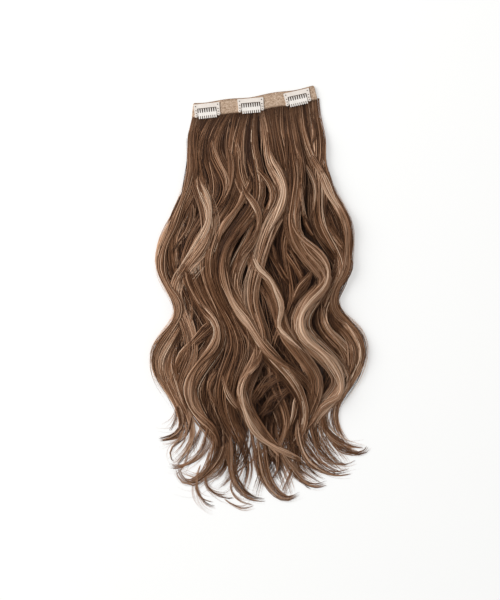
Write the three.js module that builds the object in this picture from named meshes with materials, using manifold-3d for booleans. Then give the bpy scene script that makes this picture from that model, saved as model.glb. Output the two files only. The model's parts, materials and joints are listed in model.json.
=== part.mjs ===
// A clip-in hair extension lying face up: a woven band, three toothed snap clips sewn to it, and a fall of wavy hair
// whose roots are held in the band's open lower edge.
//
// Millimetres, +Z up. The origin is the middle of the band on the surface the piece lies on. The hair runs down -Y
// and the band crosses it along X, rising a little to the right.

import * as THREE from "three";
import { mergeVertices } from "three/addons/utils/BufferGeometryUtils.js";
import Module from "manifold-3d";

const wasm = await Module();
wasm.setup();

// Clearances
const SEAT_GAP = 0.3; // between pieces that rest on each other
const PIN_CLEARANCE = 0.1; // between the hinge pin and its bores, on the radius

// Band: two layers of woven tape, closed along the top edge and open below for the roots
const BAND_LENGTH = 147;
const BAND_WIDTH = 18;
const BAND_LAYER = 1.1; // one layer of tape
const BAND_POCKET = 1.3; // height of the space between the layers
const BAND_THICKNESS = 2 * BAND_LAYER + BAND_POCKET;
const POCKET_DEPTH = 6;
const BAND_CORNER = 2.2; // radius of the corners
const BAND_RISE = 10.5; // how much higher the right end lies than the middle
const BAND_SAG = 2.2; // how much both ends curve up
const BAND_RIPPLE = 0.8; // how much the band lifts between the clips
const RIPPLE_PITCH = 0.75; // from one lift to the next, as a share of the half length
const RIPPLE_START = -0.43; // the lift left of the middle clip, as a share of the half length
const BAND_FLARE = 1.8; // how much further out the lower left corner lies
const BAND_STEPS = 28;

// Clips
const CLIP_LENGTH = 31.4; // across the upper bar
const CLIP_WAIST = 0.6; // how much each side draws in above the ears
const CLIP_CORNER = 0.9;
const FRAME_THICKNESS = 1.0;
const UPPER_BAR = 5.2;
const WINDOW_HEIGHT = 5.4;
const WINDOW_LENGTH = 23;
const HOLE_RADIUS = 0.45;
const HOLE_PLACES = [0.18, 0.55, 0.79]; // from the top of the frame to the hinge axis
const EAR_RADIUS = 2.2;
const EAR_INSET = 1.5; // from the outer side of an arm in to the middle of its ear
const STUD_RADIUS = 1.45;
const STUD_WALL = 0.4; // metal left above the pin's bore in a stud
const DIMPLE_RADIUS = 0.65;
const DIMPLE_DEPTH = 0.2;
const HINGE_LIFT = 1.05; // height of the hinge axis above the underside of the frame
const PIN_RADIUS = 0.32;
const KNUCKLE_WALL = 0.33;
const LOWER_BAR = 3.0; // the comb's bar, from the hinge axis up to the window
const BAR_BELOW = 0.9; // the comb's bar below the hinge axis
const COMB_THICKNESS = 0.6;
const TEETH = 8;
const TOOTH_PITCH = 2.72;
const TOOTH_ROOT = 1.5; // width of a tooth where it leaves the bar
const TOOTH_TIP = 0.95;
const TOOTH_END_GAP = 0.8; // between the teeth's tips and the upper bar
const LIP_LENGTH = 4.2; // from the hinge axis to the tips of the lower teeth
const LIP_BREADTH = 21.4;
const LIP_TEETH = 9;
const LIP_TOOTH = 1.45;
const CLIP_MARGIN = 1.2; // from the band's top edge to the clip
const GRIP_THICKNESS = 0.8; // silicone strip behind the teeth
const COMB_OPENING = 25; // how far a comb opens, in degrees
const CLIPS = [
  { name: "left", place: -0.776, turn: -0.4 },
  { name: "middle", place: -0.065, turn: -2.6 },
  { name: "right", place: 0.702, turn: 1.9 },
]; // place as a share of the band's half length, turn in degrees from the band's own direction

// Hair
const HAIR_LENGTH = 480; // from the origin down to the lowest tips
const HALF_SPREAD = 120; // the unit for places across the hair
const HAIR_THICKNESS = 24;
const LAYER_SHARE = 0.66; // how much of the thickness the under layer takes
const RIM_SHARE = 0.25; // thickness of the under layer's rim against its middle
const LOCK_BREADTH = 23;
const LOCK_DEPTH = 8;
const ROOT_BREADTH_SHARE = 0.62; // how broad a lock is at its root against its middle
const ROOT_DEPTH_SHARE = 0.2;
const TIP_SHARE = 0.13; // how broad a lock's tip is against its middle
const TAPER_SHARE = 0.32; // share of a lock over which it thins to its tip
const RISE_SHARE = 0.14; // share of a lock over which it rises out of the band
const CURL_LIFT = 1.2; // how much a lock rises and dips with its waves
const CURL_WAVES = 3.6;
const CURL_SHIFT = 5; // sets the curls of neighbouring locks apart
const TONGUE_OUT = 5; // how far the root strip stands out of the band
const ROOT_OVERRUN = 2.5; // how far above the band's lower edge the locks are drawn from, before they are cut
const CLEAR_SHARE = 1.3; // how far a cut along the band runs, as a share of its half length
const LOCK_STEPS = 27;
const LEAST_LIFT = 0.05; // height of the underside of a lock that lies on the surface

// A lock's section, as shares of its half breadth and half depth
const LOCK_SECTION = [
  { out: 1, up: -0.9 },
  { out: 0.5, up: 0.9 },
  { out: -0.5, up: 0.9 },
  { out: -1, up: -0.9 },
];

// The under layer, a row for each section: down as a share of HAIR_LENGTH, left and right as shares of HALF_SPREAD,
// and thick as a share of the under layer's thickness
const UNDER_LAYER = [
  { down: 0.0, left: -0.57, right: 0.57, thick: 0.09 },
  { down: 0.045, left: -0.59, right: 0.6, thick: 0.26 },
  { down: 0.115, left: -0.6, right: 0.62, thick: 0.5 },
  { down: 0.175, left: -0.58, right: 0.61, thick: 0.68 },
  { down: 0.25, left: -0.66, right: 0.74, thick: 0.84 },
  { down: 0.32, left: -0.8, right: 0.87, thick: 0.95 },
  { down: 0.39, left: -0.86, right: 0.87, thick: 1.0 },
  { down: 0.455, left: -0.8, right: 0.77, thick: 1.0 },
  { down: 0.515, left: -0.72, right: 0.75, thick: 1.0 },
  { down: 0.58, left: -0.82, right: 0.91, thick: 1.0 },
  { down: 0.645, left: -0.88, right: 0.97, thick: 0.94 },
  { down: 0.71, left: -0.8, right: 0.87, thick: 0.82 },
  { down: 0.775, left: -0.66, right: 0.68, thick: 0.62 },
  { down: 0.83, left: -0.5, right: 0.56, thick: 0.42 },
  { down: 0.88, left: -0.28, right: 0.36, thick: 0.16 },
  { down: 0.912, left: -0.06, right: 0.18, thick: 0.08 },
];

// The locks: root as a share of the band's half length, breadth of LOCK_BREADTH, and level, how high a lock rides on
// the under layer, as a share of LOCK_DEPTH. The bends that a lock runs through are down and across, as shares of
// HAIR_LENGTH and HALF_SPREAD, and the last is its tip.
const LOCKS = [
  {
    name: "left_edge", root: -0.95, breadth: 0.5, level: 0.05,
    bends: [[0.1, -0.625], [0.17, -0.61], [0.25, -0.71], [0.4, -0.93], [0.52, -0.75], [0.64, -0.985], [0.77, -0.75],
      [0.84, -0.77], [0.845, -0.93]],
  },
  {
    name: "left_inner", root: -0.84, breadth: 0.9, level: 0.3,
    bends: [[0.1, -0.52], [0.2, -0.6], [0.33, -0.8], [0.43, -0.76], [0.52, -0.67], [0.65, -0.86], [0.78, -0.66],
      [0.84, -0.64], [0.9, -0.83]],
  },
  {
    name: "left_light", root: -0.7, breadth: 0.85, level: 0.75,
    bends: [[0.12, -0.58], [0.185, -0.555], [0.275, -0.455], [0.36, -0.5], [0.46, -0.77], [0.53, -0.7], [0.62, -0.62],
      [0.7, -0.72], [0.78, -0.66], [0.88, -0.58]],
  },
  {
    name: "left_back", root: -0.56, breadth: 0.9, level: 0.35,
    bends: [[0.12, -0.46], [0.2, -0.38], [0.3, -0.5], [0.42, -0.6], [0.54, -0.4], [0.62, -0.44], [0.72, -0.6],
      [0.84, -0.36], [0.9, -0.3], [0.95, -0.575]],
  },
  {
    name: "left_curl", root: -0.42, breadth: 0.85, level: 0.6,
    bends: [[0.12, -0.4], [0.2, -0.28], [0.28, -0.42], [0.42, -0.66], [0.52, -0.46], [0.59, -0.37], [0.7, -0.63],
      [0.8, -0.48], [0.87, -0.34], [0.93, -0.5], [0.915, -0.765]],
  },
  {
    name: "left_sweep", root: -0.28, breadth: 0.95, level: 0.5,
    bends: [[0.12, -0.2], [0.2, -0.16], [0.3, -0.33], [0.4, -0.45], [0.5, -0.34], [0.6, -0.18], [0.7, -0.28],
      [0.8, -0.22], [0.9, -0.06], [0.985, -0.145]],
  },
  {
    name: "middle_twist", root: -0.14, breadth: 0.8, level: 0.7,
    bends: [[0.1, -0.16], [0.2, -0.12], [0.27, 0.03], [0.36, -0.07], [0.45, -0.2], [0.55, -0.06], [0.62, 0.02],
      [0.72, -0.1], [0.8, 0.0], [0.88, 0.2], [0.985, 0.35]],
  },
  {
    name: "long_sweep", root: -0.03, breadth: 0.75, level: 0.95,
    bends: [[0.12, -0.02], [0.24, 0.02], [0.32, -0.18], [0.42, -0.305], [0.52, -0.14], [0.62, 0.12], [0.72, 0.43],
      [0.8, 0.48], [0.88, 0.3], [0.95, 0.14]],
  },
  {
    name: "centre_light", root: 0.1, breadth: 0.75, level: 0.85,
    bends: [[0.08, 0.13], [0.16, 0.18], [0.22, 0.295], [0.3, 0.18], [0.4, 0.04], [0.5, -0.02], [0.6, 0.08],
      [0.72, -0.12], [0.8, 0.02], [0.87, 0.24], [0.952, 0.7]],
  },
  {
    name: "cross_light", root: 0.26, breadth: 0.8, level: 0.55,
    bends: [[0.12, 0.22], [0.24, 0.24], [0.38, 0.0], [0.48, 0.2], [0.58, 0.32], [0.69, 0.6], [0.78, 0.52],
      [0.88, 0.42], [0.99, 0.25]],
  },
  {
    name: "right_dark", root: 0.42, breadth: 0.95, level: 0.3,
    bends: [[0.12, 0.3], [0.22, 0.42], [0.34, 0.28], [0.48, 0.36], [0.58, 0.22], [0.7, 0.2], [0.8, 0.32],
      [0.92, 0.1], [0.985, 0.02]],
  },
  {
    name: "big_light", root: 0.55, breadth: 0.9, level: 0.95,
    bends: [[0.12, 0.4], [0.2, 0.42], [0.295, 0.38], [0.38, 0.54], [0.44, 0.71], [0.5, 0.54], [0.555, 0.465],
      [0.62, 0.67], [0.69, 0.865], [0.75, 0.7], [0.8, 0.56], [0.87, 0.68], [0.925, 0.91]],
  },
  {
    name: "right_inner", root: 0.7, breadth: 0.9, level: 0.6,
    bends: [[0.1, 0.5], [0.2, 0.61], [0.3, 0.64], [0.41, 0.86], [0.54, 0.68], [0.65, 0.94], [0.77, 0.7], [0.83, 0.82],
      [0.86, 1.11]],
  },
  {
    name: "right_edge", root: 0.84, breadth: 0.6, level: 0.3,
    bends: [[0.1, 0.59], [0.18, 0.655], [0.26, 0.83], [0.37, 0.93], [0.49, 0.77], [0.55, 0.9], [0.625, 1.05],
      [0.76, 0.8], [0.83, 0.86], [0.87, 1.0]],
  },
  {
    name: "right_shoulder", root: 0.95, breadth: 0.8, level: 0.05,
    bends: [[0.05, 0.615], [0.12, 0.63], [0.19, 0.61], [0.28, 0.72], [0.4, 0.86], [0.49, 0.72], [0.58, 0.84],
      [0.65, 0.96], [0.77, 0.66], [0.84, 0.78], [0.9, 0.95]],
  },
];

// Colours
const finishes = {
  band: new THREE.MeshStandardMaterial({ color: 0xc2a58c, roughness: 0.95, metalness: 0 }),
  hair: new THREE.MeshStandardMaterial({ color: 0x6b4e3c, roughness: 0.45, metalness: 0 }),
  frame: new THREE.MeshStandardMaterial({ color: 0xe9e0d6, roughness: 0.35, metalness: 0.4 }),
  comb: new THREE.MeshStandardMaterial({ color: 0xf1ebe1, roughness: 0.3, metalness: 0.4 }),
  pin: new THREE.MeshStandardMaterial({ color: 0xb9b4ac, roughness: 0.3, metalness: 1 }),
  grip: new THREE.MeshStandardMaterial({ color: 0x4d3b2f, roughness: 0.6, metalness: 0 }),
};

// Turns a closed geometry into a solid that can be joined and cut.
function solid(geometry) {
  const bare = geometry.index ? geometry.toNonIndexed() : geometry.clone();
  bare.deleteAttribute("normal");
  bare.deleteAttribute("uv");
  const merged = mergeVertices(bare, 1e-4);
  return new wasm.Manifold(
    new wasm.Mesh({
      numProp: 3,
      vertProperties: new Float32Array(merged.attributes.position.array),
      triVerts: new Uint32Array(merged.index.array),
    }),
  );
}

function geometryOf(body) {
  const mesh = body.getMesh();
  const geometry = new THREE.BufferGeometry();
  geometry.setAttribute("position", new THREE.BufferAttribute(new Float32Array(mesh.vertProperties), 3));
  geometry.setIndex(new THREE.BufferAttribute(new Uint32Array(mesh.triVerts), 1));
  return geometry;
}

function piece(name, body, finish) {
  const mesh = new THREE.Mesh(geometryOf(body), finish);
  mesh.name = name;
  return mesh;
}

// A closed skin through rings of equal length, each an array of THREE.Vector3 that runs anticlockwise seen from the
// end of the loft.
function loft(rings) {
  const sides = rings[0].length;
  const points = rings.flat();
  const faces = [];
  for (let ring = 0; ring + 1 < rings.length; ring++) {
    for (let side = 0; side < sides; side++) {
      const next = (side + 1) % sides;
      const [a, b] = [ring * sides + side, ring * sides + next];
      faces.push(a, b, b + sides, a, b + sides, a + sides);
    }
  }
  const last = (rings.length - 1) * sides;
  for (let side = 1; side + 1 < sides; side++) {
    faces.push(0, side + 1, side);
    faces.push(last, last + side, last + side + 1);
  }
  const geometry = new THREE.BufferGeometry().setFromPoints(points);
  geometry.setIndex(faces);
  return solid(geometry);
}

function plate(shape, bottom, thickness, curveSegments = 4) {
  const geometry = new THREE.ExtrudeGeometry(shape, { depth: thickness, bevelEnabled: false, curveSegments });
  geometry.translate(0, 0, bottom);
  return solid(geometry);
}

// A round bar along X through the origin of a clip.
function barAlongX(radius, halfLength, sides, y, z) {
  const geometry = new THREE.CylinderGeometry(radius, radius, 2 * halfLength, sides);
  geometry.rotateZ(Math.PI / 2);
  geometry.translate(0, y, z);
  return solid(geometry);
}

function upright(radius, bottom, top, sides, x, y) {
  const geometry = new THREE.CylinderGeometry(radius, radius, top - bottom, sides);
  geometry.rotateX(Math.PI / 2);
  geometry.translate(x, y, (top + bottom) / 2);
  return solid(geometry);
}

const smooth = (value) => THREE.MathUtils.smoothstep(value, 0, 1);

// The band's middle line: a point for a place along it, from -1 at its left end to 1 at its right end.
function bandPoint(along) {
  const ripple = (place) => BAND_RIPPLE * Math.cos((2 * Math.PI * (place - RIPPLE_START)) / RIPPLE_PITCH);
  const y = BAND_RISE * along + BAND_SAG * along * along + ripple(along) - ripple(0);
  return new THREE.Vector2((along * BAND_LENGTH) / 2, y);
}

function bandTurn(along) {
  const step = 0.05;
  const run = bandPoint(along + step).sub(bandPoint(along - step));
  return Math.atan2(run.y, run.x);
}

// A point off the middle line, positive towards the band's top edge.
function acrossBand(along, offset) {
  const turn = bandTurn(along);
  return bandPoint(along).add(new THREE.Vector2(-Math.sin(turn) * offset, Math.cos(turn) * offset));
}

// The outline of a stretch of the band between two offsets, in a number of steps.
function bandStrip(from, to, low, high) {
  const places = Array.from({ length: BAND_STEPS + 1 }, (_, i) => from + ((to - from) * i) / BAND_STEPS);
  const upper = places.map((along) => acrossBand(along, high));
  const lower = places.map((along) => acrossBand(along, low));
  return [...lower, ...upper.reverse()];
}

function bandShape() {
  const half = BAND_WIDTH / 2;
  const inset = (2 * BAND_CORNER) / BAND_LENGTH;
  const flare = (2 * BAND_FLARE) / BAND_LENGTH;
  const outline = bandStrip(-1 + inset, 1 - inset, -half, half);
  const shape = new THREE.Shape();
  const corner = (along, offset) => acrossBand(along, offset);
  const rounded = (to, bend) => shape.quadraticCurveTo(bend.x, bend.y, to.x, to.y);
  shape.setFromPoints(outline.slice(0, BAND_STEPS + 1));
  rounded(corner(1, -half + BAND_CORNER), corner(1, -half));
  shape.lineTo(...corner(1, half - BAND_CORNER).toArray());
  rounded(outline[BAND_STEPS + 1], corner(1, half));
  outline.slice(BAND_STEPS + 2).forEach((point) => shape.lineTo(point.x, point.y));
  rounded(corner(-1, half - BAND_CORNER), corner(-1, half));
  shape.lineTo(...corner(-1 - flare, -half + BAND_CORNER / 2).toArray());
  rounded(outline[0], corner(-1 - flare, -half));
  return shape;
}

function makeBand() {
  const half = BAND_WIDTH / 2;
  const tape = plate(bandShape(), 0, BAND_THICKNESS);
  const pocket = bandStrip(-CLEAR_SHARE, CLEAR_SHARE, -half - POCKET_DEPTH, -half + POCKET_DEPTH);
  return tape.subtract(plate(new THREE.Shape(pocket), BAND_LAYER, BAND_POCKET));
}

// Heights and places in a clip, whose own origin is on the surface under the middle of its hinge axis
const FRAME_TOP = UPPER_BAR + WINDOW_HEIGHT + LOWER_BAR;
const ARM_SIDE = CLIP_LENGTH / 2 - CLIP_WAIST;
const ARM_MIDDLE = (ARM_SIDE + WINDOW_LENGTH / 2) / 2;
const EAR_PLACE = ARM_SIDE - EAR_INSET;
const FRAME_UNDERSIDE = BAND_THICKNESS + SEAT_GAP;
const FRAME_FACE = FRAME_UNDERSIDE + FRAME_THICKNESS;
const HINGE_HEIGHT = FRAME_UNDERSIDE + HINGE_LIFT;
const BORE_RADIUS = PIN_RADIUS + PIN_CLEARANCE;
const KNUCKLE_RADIUS = BORE_RADIUS + KNUCKLE_WALL;
const PIN_HALF = EAR_PLACE + STUD_RADIUS / 2;
const COMB_HALF = EAR_PLACE - EAR_RADIUS - SEAT_GAP;
const COMB_UNDERSIDE = HINGE_HEIGHT + KNUCKLE_RADIUS - COMB_THICKNESS;

function frameShape() {
  const half = CLIP_LENGTH / 2;
  const inner = WINDOW_LENGTH / 2;
  const windowTop = FRAME_TOP - UPPER_BAR;
  const shape = new THREE.Shape();
  shape.moveTo(-half + CLIP_CORNER, FRAME_TOP);
  shape.quadraticCurveTo(-half, FRAME_TOP, -half, FRAME_TOP - CLIP_CORNER);
  shape.lineTo(-ARM_SIDE, EAR_RADIUS / 2);
  shape.lineTo(-inner, EAR_RADIUS / 2);
  shape.lineTo(-inner, windowTop);
  shape.lineTo(inner, windowTop);
  shape.lineTo(inner, EAR_RADIUS / 2);
  shape.lineTo(ARM_SIDE, EAR_RADIUS / 2);
  shape.lineTo(half, FRAME_TOP - CLIP_CORNER);
  shape.quadraticCurveTo(half, FRAME_TOP, half - CLIP_CORNER, FRAME_TOP);
  shape.closePath();
  for (const side of [-1, 1]) {
    for (const place of HOLE_PLACES) {
      const hole = new THREE.Path();
      hole.absarc(side * ARM_MIDDLE, FRAME_TOP * (1 - place), HOLE_RADIUS, 0, 2 * Math.PI, true);
      shape.holes.push(hole);
    }
  }
  return shape;
}

// The sewn frame: an upper bar, two arms and at their feet two round ears whose studs hold the hinge pin.
function makeFrame() {
  const studTop = HINGE_HEIGHT + BORE_RADIUS + STUD_WALL + DIMPLE_DEPTH;
  let frame = plate(frameShape(), FRAME_UNDERSIDE, FRAME_THICKNESS);
  for (const side of [-1, 1]) {
    const x = side * EAR_PLACE;
    frame = frame
      .add(upright(EAR_RADIUS, FRAME_UNDERSIDE, FRAME_FACE, 14, x, 0))
      .add(upright(STUD_RADIUS, FRAME_UNDERSIDE, studTop, 12, x, 0))
      .subtract(upright(DIMPLE_RADIUS, studTop - DIMPLE_DEPTH, studTop + DIMPLE_DEPTH, 6, x, 0));
  }
  return frame.subtract(barAlongX(BORE_RADIUS, PIN_HALF + SEAT_GAP, 8, 0, HINGE_HEIGHT));
}

// The comb's flat outline: a bar, teeth up into the window and short teeth below the hinge.
function combShape() {
  const toothTop = LOWER_BAR + WINDOW_HEIGHT - TOOTH_END_GAP;
  const points = [[COMB_HALF, -BAR_BELOW], [COMB_HALF, LOWER_BAR]];
  for (let tooth = TEETH - 1; tooth >= 0; tooth--) {
    const x = (tooth - (TEETH - 1) / 2) * TOOTH_PITCH;
    points.push([x + TOOTH_ROOT / 2, LOWER_BAR], [x + TOOTH_TIP / 2, toothTop]);
    points.push([x - TOOTH_TIP / 2, toothTop], [x - TOOTH_ROOT / 2, LOWER_BAR]);
  }
  points.push([-COMB_HALF, LOWER_BAR], [-COMB_HALF, -BAR_BELOW]);
  const lipPitch = (LIP_BREADTH - LIP_TOOTH) / (LIP_TEETH - 1);
  for (let tooth = 0; tooth < LIP_TEETH; tooth++) {
    const left = tooth * lipPitch - LIP_BREADTH / 2;
    const right = left + LIP_TOOTH;
    points.push([left, -BAR_BELOW], [left, -LIP_LENGTH], [right, -LIP_LENGTH], [right, -BAR_BELOW]);
  }
  return new THREE.Shape(points.map(([x, y]) => new THREE.Vector2(x, y)));
}

// The comb: a plate over the hinge, whose knuckle is on its underside.
function makeComb() {
  return plate(combShape(), COMB_UNDERSIDE, COMB_THICKNESS)
    .add(barAlongX(KNUCKLE_RADIUS, COMB_HALF, 10, 0, HINGE_HEIGHT))
    .subtract(barAlongX(BORE_RADIUS, CLIP_LENGTH, 8, 0, HINGE_HEIGHT));
}

function makePin() {
  return barAlongX(PIN_RADIUS, PIN_HALF, 8, 0, HINGE_HEIGHT);
}

// The silicone strip that lies on the band behind the teeth and fills the window from arm to arm.
function makeGrip() {
  const half = WINDOW_LENGTH / 2 - SEAT_GAP;
  const low = LOWER_BAR - SEAT_GAP;
  const high = LOWER_BAR + WINDOW_HEIGHT - SEAT_GAP;
  const outline = [[-half, low], [half, low], [half, high], [-half, high]];
  const strip = new THREE.Shape(outline.map(([x, y]) => new THREE.Vector2(x, y)));
  return plate(strip, FRAME_UNDERSIDE, GRIP_THICKNESS);
}

// The place of a clip's own origin, and the clip's turn in degrees.
function clipPlace({ place, turn }) {
  const spot = acrossBand(place, BAND_WIDTH / 2 - CLIP_MARGIN - FRAME_TOP);
  return { spot, turned: THREE.MathUtils.radToDeg(bandTurn(place)) + turn };
}

// The room over the hair that a comb's lip swings down into as its teeth open.
function makeLipRoom(clip) {
  const open = THREE.MathUtils.degToRad(COMB_OPENING);
  const lipHeight = HINGE_HEIGHT - LIP_LENGTH * Math.sin(open) + (COMB_UNDERSIDE - HINGE_HEIGHT) * Math.cos(open);
  const half = LIP_BREADTH / 2 + SEAT_GAP;
  const reach = LIP_LENGTH + SEAT_GAP;
  const outline = [[-half, -reach], [half, -reach], [half, 0], [-half, 0]];
  const room = new THREE.Shape(outline.map(([x, y]) => new THREE.Vector2(x, y)));
  const { spot, turned } = clipPlace(clip);
  return plate(room, lipHeight - SEAT_GAP, HAIR_THICKNESS).rotate([0, 0, turned]).translate([spot.x, spot.y, 0]);
}

function placeClip(clip) {
  const { name } = clip;
  const { spot, turned } = clipPlace(clip);
  const group = new THREE.Group();
  group.position.set(spot.x, spot.y, 0);
  group.rotation.z = THREE.MathUtils.degToRad(turned);
  group.add(
    piece(`clip_${name}_frame`, makeFrame(), finishes.frame),
    piece(`clip_${name}_comb`, makeComb(), finishes.comb),
    piece(`clip_${name}_pin`, makePin(), finishes.pin),
    piece(`clip_${name}_grip`, makeGrip(), finishes.grip),
  );
  return group;
}

// The strip of sewn roots, inside the band's pocket and a little way out of it.
function makeRootStrip() {
  const half = BAND_WIDTH / 2;
  const reach = 1 - (2 * BAND_CORNER) / BAND_LENGTH;
  const strip = bandStrip(-reach, reach, -half - TONGUE_OUT, -half + POCKET_DEPTH - SEAT_GAP);
  return plate(new THREE.Shape(strip), BAND_LAYER + SEAT_GAP, BAND_POCKET - 2 * SEAT_GAP);
}

// The line that the hair starts from, a little above the band's lower edge, where it is then cut to lie clear of
// the band.
function rootLine(along) {
  return acrossBand(along, -BAND_WIDTH / 2 + ROOT_OVERRUN);
}

// The space that the hair keeps clear: the band, carried on past both ends, with a gap below it.
function makeClearSpace() {
  const half = BAND_WIDTH / 2;
  const outline = new THREE.Shape(bandStrip(-CLEAR_SHARE, CLEAR_SHARE, -half - SEAT_GAP, half + HAIR_THICKNESS));
  return plate(outline, -HAIR_THICKNESS, 3 * HAIR_THICKNESS);
}

// The under layer's edges and thickness at a share of the way down, between the rows of its table.
function layerAt(down) {
  const next = UNDER_LAYER.findIndex((row) => row.down > down);
  if (next < 1) return next < 0 ? UNDER_LAYER.at(-1) : UNDER_LAYER[0];
  const [from, to] = [UNDER_LAYER[next - 1], UNDER_LAYER[next]];
  const share = (down - from.down) / (to.down - from.down);
  const between = (column) => THREE.MathUtils.lerp(from[column], to[column], share);
  return { left: between("left"), right: between("right"), thick: between("thick") };
}

// How high the under layer domes at a place, from -1 at its left rim to 1 at its right rim.
const dome = (u) => Math.max(0, 1 - u ** 4);

function layerTop(x, y) {
  const { left, right, thick } = layerAt(-y / HAIR_LENGTH);
  const u = (x / HALF_SPREAD - (left + right) / 2) / ((right - left) / 2);
  return HAIR_THICKNESS * LAYER_SHARE * thick * dome(u);
}

// The broad layer that the locks lie on and are fused to. Near the band its rows follow the band's slope.
function makeUnderLayer() {
  const across = [1, 0.82, 0.5, 0, -0.5, -0.82, -1];
  const rings = UNDER_LAYER.map(({ down, left, right, thick }) => {
    const level = 1 - smooth(down / RISE_SHARE);
    const middle = ((left + right) / 2) * HALF_SPREAD;
    const half = ((right - left) / 2) * HALF_SPREAD;
    const place = (u, z) => {
      const x = middle + u * half;
      const root = rootLine(THREE.MathUtils.clamp((2 * x) / BAND_LENGTH, -1, 1));
      return new THREE.Vector3(x, root.y * level - down * HAIR_LENGTH, z);
    };
    const rim = (u) => RIM_SHARE + (1 - RIM_SHARE) * dome(u);
    const upper = across.map((u) => place(u, HAIR_THICKNESS * LAYER_SHARE * thick * rim(u)));
    const lower = [-0.9, 0, 0.9].map((u) => place(u, 0));
    return [...upper, ...lower];
  });
  return loft(rings);
}

// A lock's middle line from its root through its bends to its tip.
function lockLine({ root, bends }) {
  const start = rootLine(root);
  const points = [new THREE.Vector3(start.x, start.y, 0)];
  bends.forEach(([down, across]) => points.push(new THREE.Vector3(across * HALF_SPREAD, -down * HAIR_LENGTH, 0)));
  return new THREE.CatmullRomCurve3(points);
}

function makeLock(lock) {
  const line = lockLine(lock);
  const rings = [];
  for (let step = 0; step <= LOCK_STEPS; step++) {
    const share = step / LOCK_STEPS;
    const at = line.getPointAt(share);
    const along = line.getTangentAt(share);
    const aside = new THREE.Vector3(-along.y, along.x, 0).normalize();
    const rise = smooth(share / RISE_SHARE);
    const taper = THREE.MathUtils.lerp(TIP_SHARE, 1, smooth((1 - share) / TAPER_SHARE));
    const broaden = THREE.MathUtils.lerp(ROOT_BREADTH_SHARE, 1, rise);
    const deepen = THREE.MathUtils.lerp(ROOT_DEPTH_SHARE, 1, rise);
    const halfBreadth = (lock.breadth * LOCK_BREADTH * taper * broaden) / 2;
    const halfDepth = (LOCK_DEPTH * taper * deepen) / 2;
    const curl = CURL_LIFT * Math.sin(2 * Math.PI * CURL_WAVES * share + CURL_SHIFT * lock.root);
    const ridden = layerTop(at.x, at.y) + (lock.level * LOCK_DEPTH + curl - LOCK_DEPTH / 2) * rise * taper;
    const middle = Math.max(ridden, halfDepth + LEAST_LIFT);
    rings.push(
      LOCK_SECTION.map(({ out, up }) => {
        const side = out * halfBreadth;
        return new THREE.Vector3(at.x + aside.x * side, at.y + aside.y * side, middle + up * halfDepth);
      }),
    );
  }
  return loft(rings);
}

// The outer skin alone, which fills the sealed hollows that crossing locks leave between them.
function filled(body) {
  return body.decompose().reduce((outer, skin) => (skin.volume() > outer.volume() ? skin : outer));
}

function makeHair() {
  const fall = LOCKS.reduce((hair, lock) => hair.add(makeLock(lock)), makeUnderLayer());
  const rooms = CLIPS.map(makeLipRoom);
  const clear = rooms.reduce((hair, room) => hair.subtract(room), fall.subtract(makeClearSpace()));
  return filled(clear.add(makeRootStrip()));
}

const extension = new THREE.Group();
extension.add(piece("band", makeBand(), finishes.band));
extension.add(piece("hair", makeHair(), finishes.hair));
CLIPS.forEach((clip) => extension.add(placeClip(clip)));

export default extension;
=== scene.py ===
import json
import math

import bpy
import numpy as np
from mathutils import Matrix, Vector


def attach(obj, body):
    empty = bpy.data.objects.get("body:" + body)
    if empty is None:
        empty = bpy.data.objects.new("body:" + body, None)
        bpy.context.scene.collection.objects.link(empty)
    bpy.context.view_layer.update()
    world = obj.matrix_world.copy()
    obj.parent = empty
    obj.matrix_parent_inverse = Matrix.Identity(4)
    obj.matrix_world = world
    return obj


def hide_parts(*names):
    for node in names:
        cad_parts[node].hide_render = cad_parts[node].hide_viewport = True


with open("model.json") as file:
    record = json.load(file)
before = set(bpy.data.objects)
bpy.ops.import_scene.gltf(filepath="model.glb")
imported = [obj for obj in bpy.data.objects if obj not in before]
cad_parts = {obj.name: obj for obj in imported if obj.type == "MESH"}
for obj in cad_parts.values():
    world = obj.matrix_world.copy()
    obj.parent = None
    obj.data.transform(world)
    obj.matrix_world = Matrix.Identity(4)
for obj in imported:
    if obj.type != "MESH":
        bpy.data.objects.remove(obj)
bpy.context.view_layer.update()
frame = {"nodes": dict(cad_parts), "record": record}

# A clip-in hair extension on a pale surface: wavy highlighted hair, a folded woven tape and three clips.
# Metres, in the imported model's frame: the tape lies along X, the hair runs down -Y, +Z is up.

MM = 0.001

# Tape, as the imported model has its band
BAND_LENGTH = 147 * MM
BAND_WIDTH = 18 * MM
BAND_LAYER = 1.1 * MM
BAND_POCKET = 1.3 * MM
BAND_THICKNESS = 2 * BAND_LAYER + BAND_POCKET
BAND_RISE = 10.5 * MM
BAND_SAG = 2.2 * MM
BAND_RIPPLE = 0.8 * MM
RIPPLE_PITCH = 0.75
RIPPLE_START = -0.43
BAND_FLARE = 1.8 * MM
BAND_CORNER = 2.2 * MM
FOLD_DEPTH = 15 * MM
SEAM_INSET = 1.3 * MM
SEAM_DENT = 0.28 * MM
EDGE_ROUNDING = 0.5 * MM
PUCKER = 0.1 * MM
STITCH_MARGIN = 2 * MM
STITCH_PITCH = 2.1 * MM
STITCH_LENGTH = 1.5 * MM
THREAD_RADIUS = 0.2 * MM

# The weave's pitch in millimetres, as the tape's UV is measured
WEAVE_PITCH = 0.75

# Clips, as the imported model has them: places from the hinge, up the frame and out along it
CLIP_HEIGHT = 13.6 * MM
HOLE_OUT = 13.3 * MM
HOLE_PLACES = (0.18, 0.55, 0.79)
FRAME_UNDERSIDE = 3.8 * MM
FRAME_THICKNESS = 1.0 * MM
KNOT_RADIUS = 0.7 * MM
EAR_OUT = 13.6 * MM
DIMPLE_FLOOR = 5.67 * MM
RIVET_RADIUS = 0.58 * MM

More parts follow.
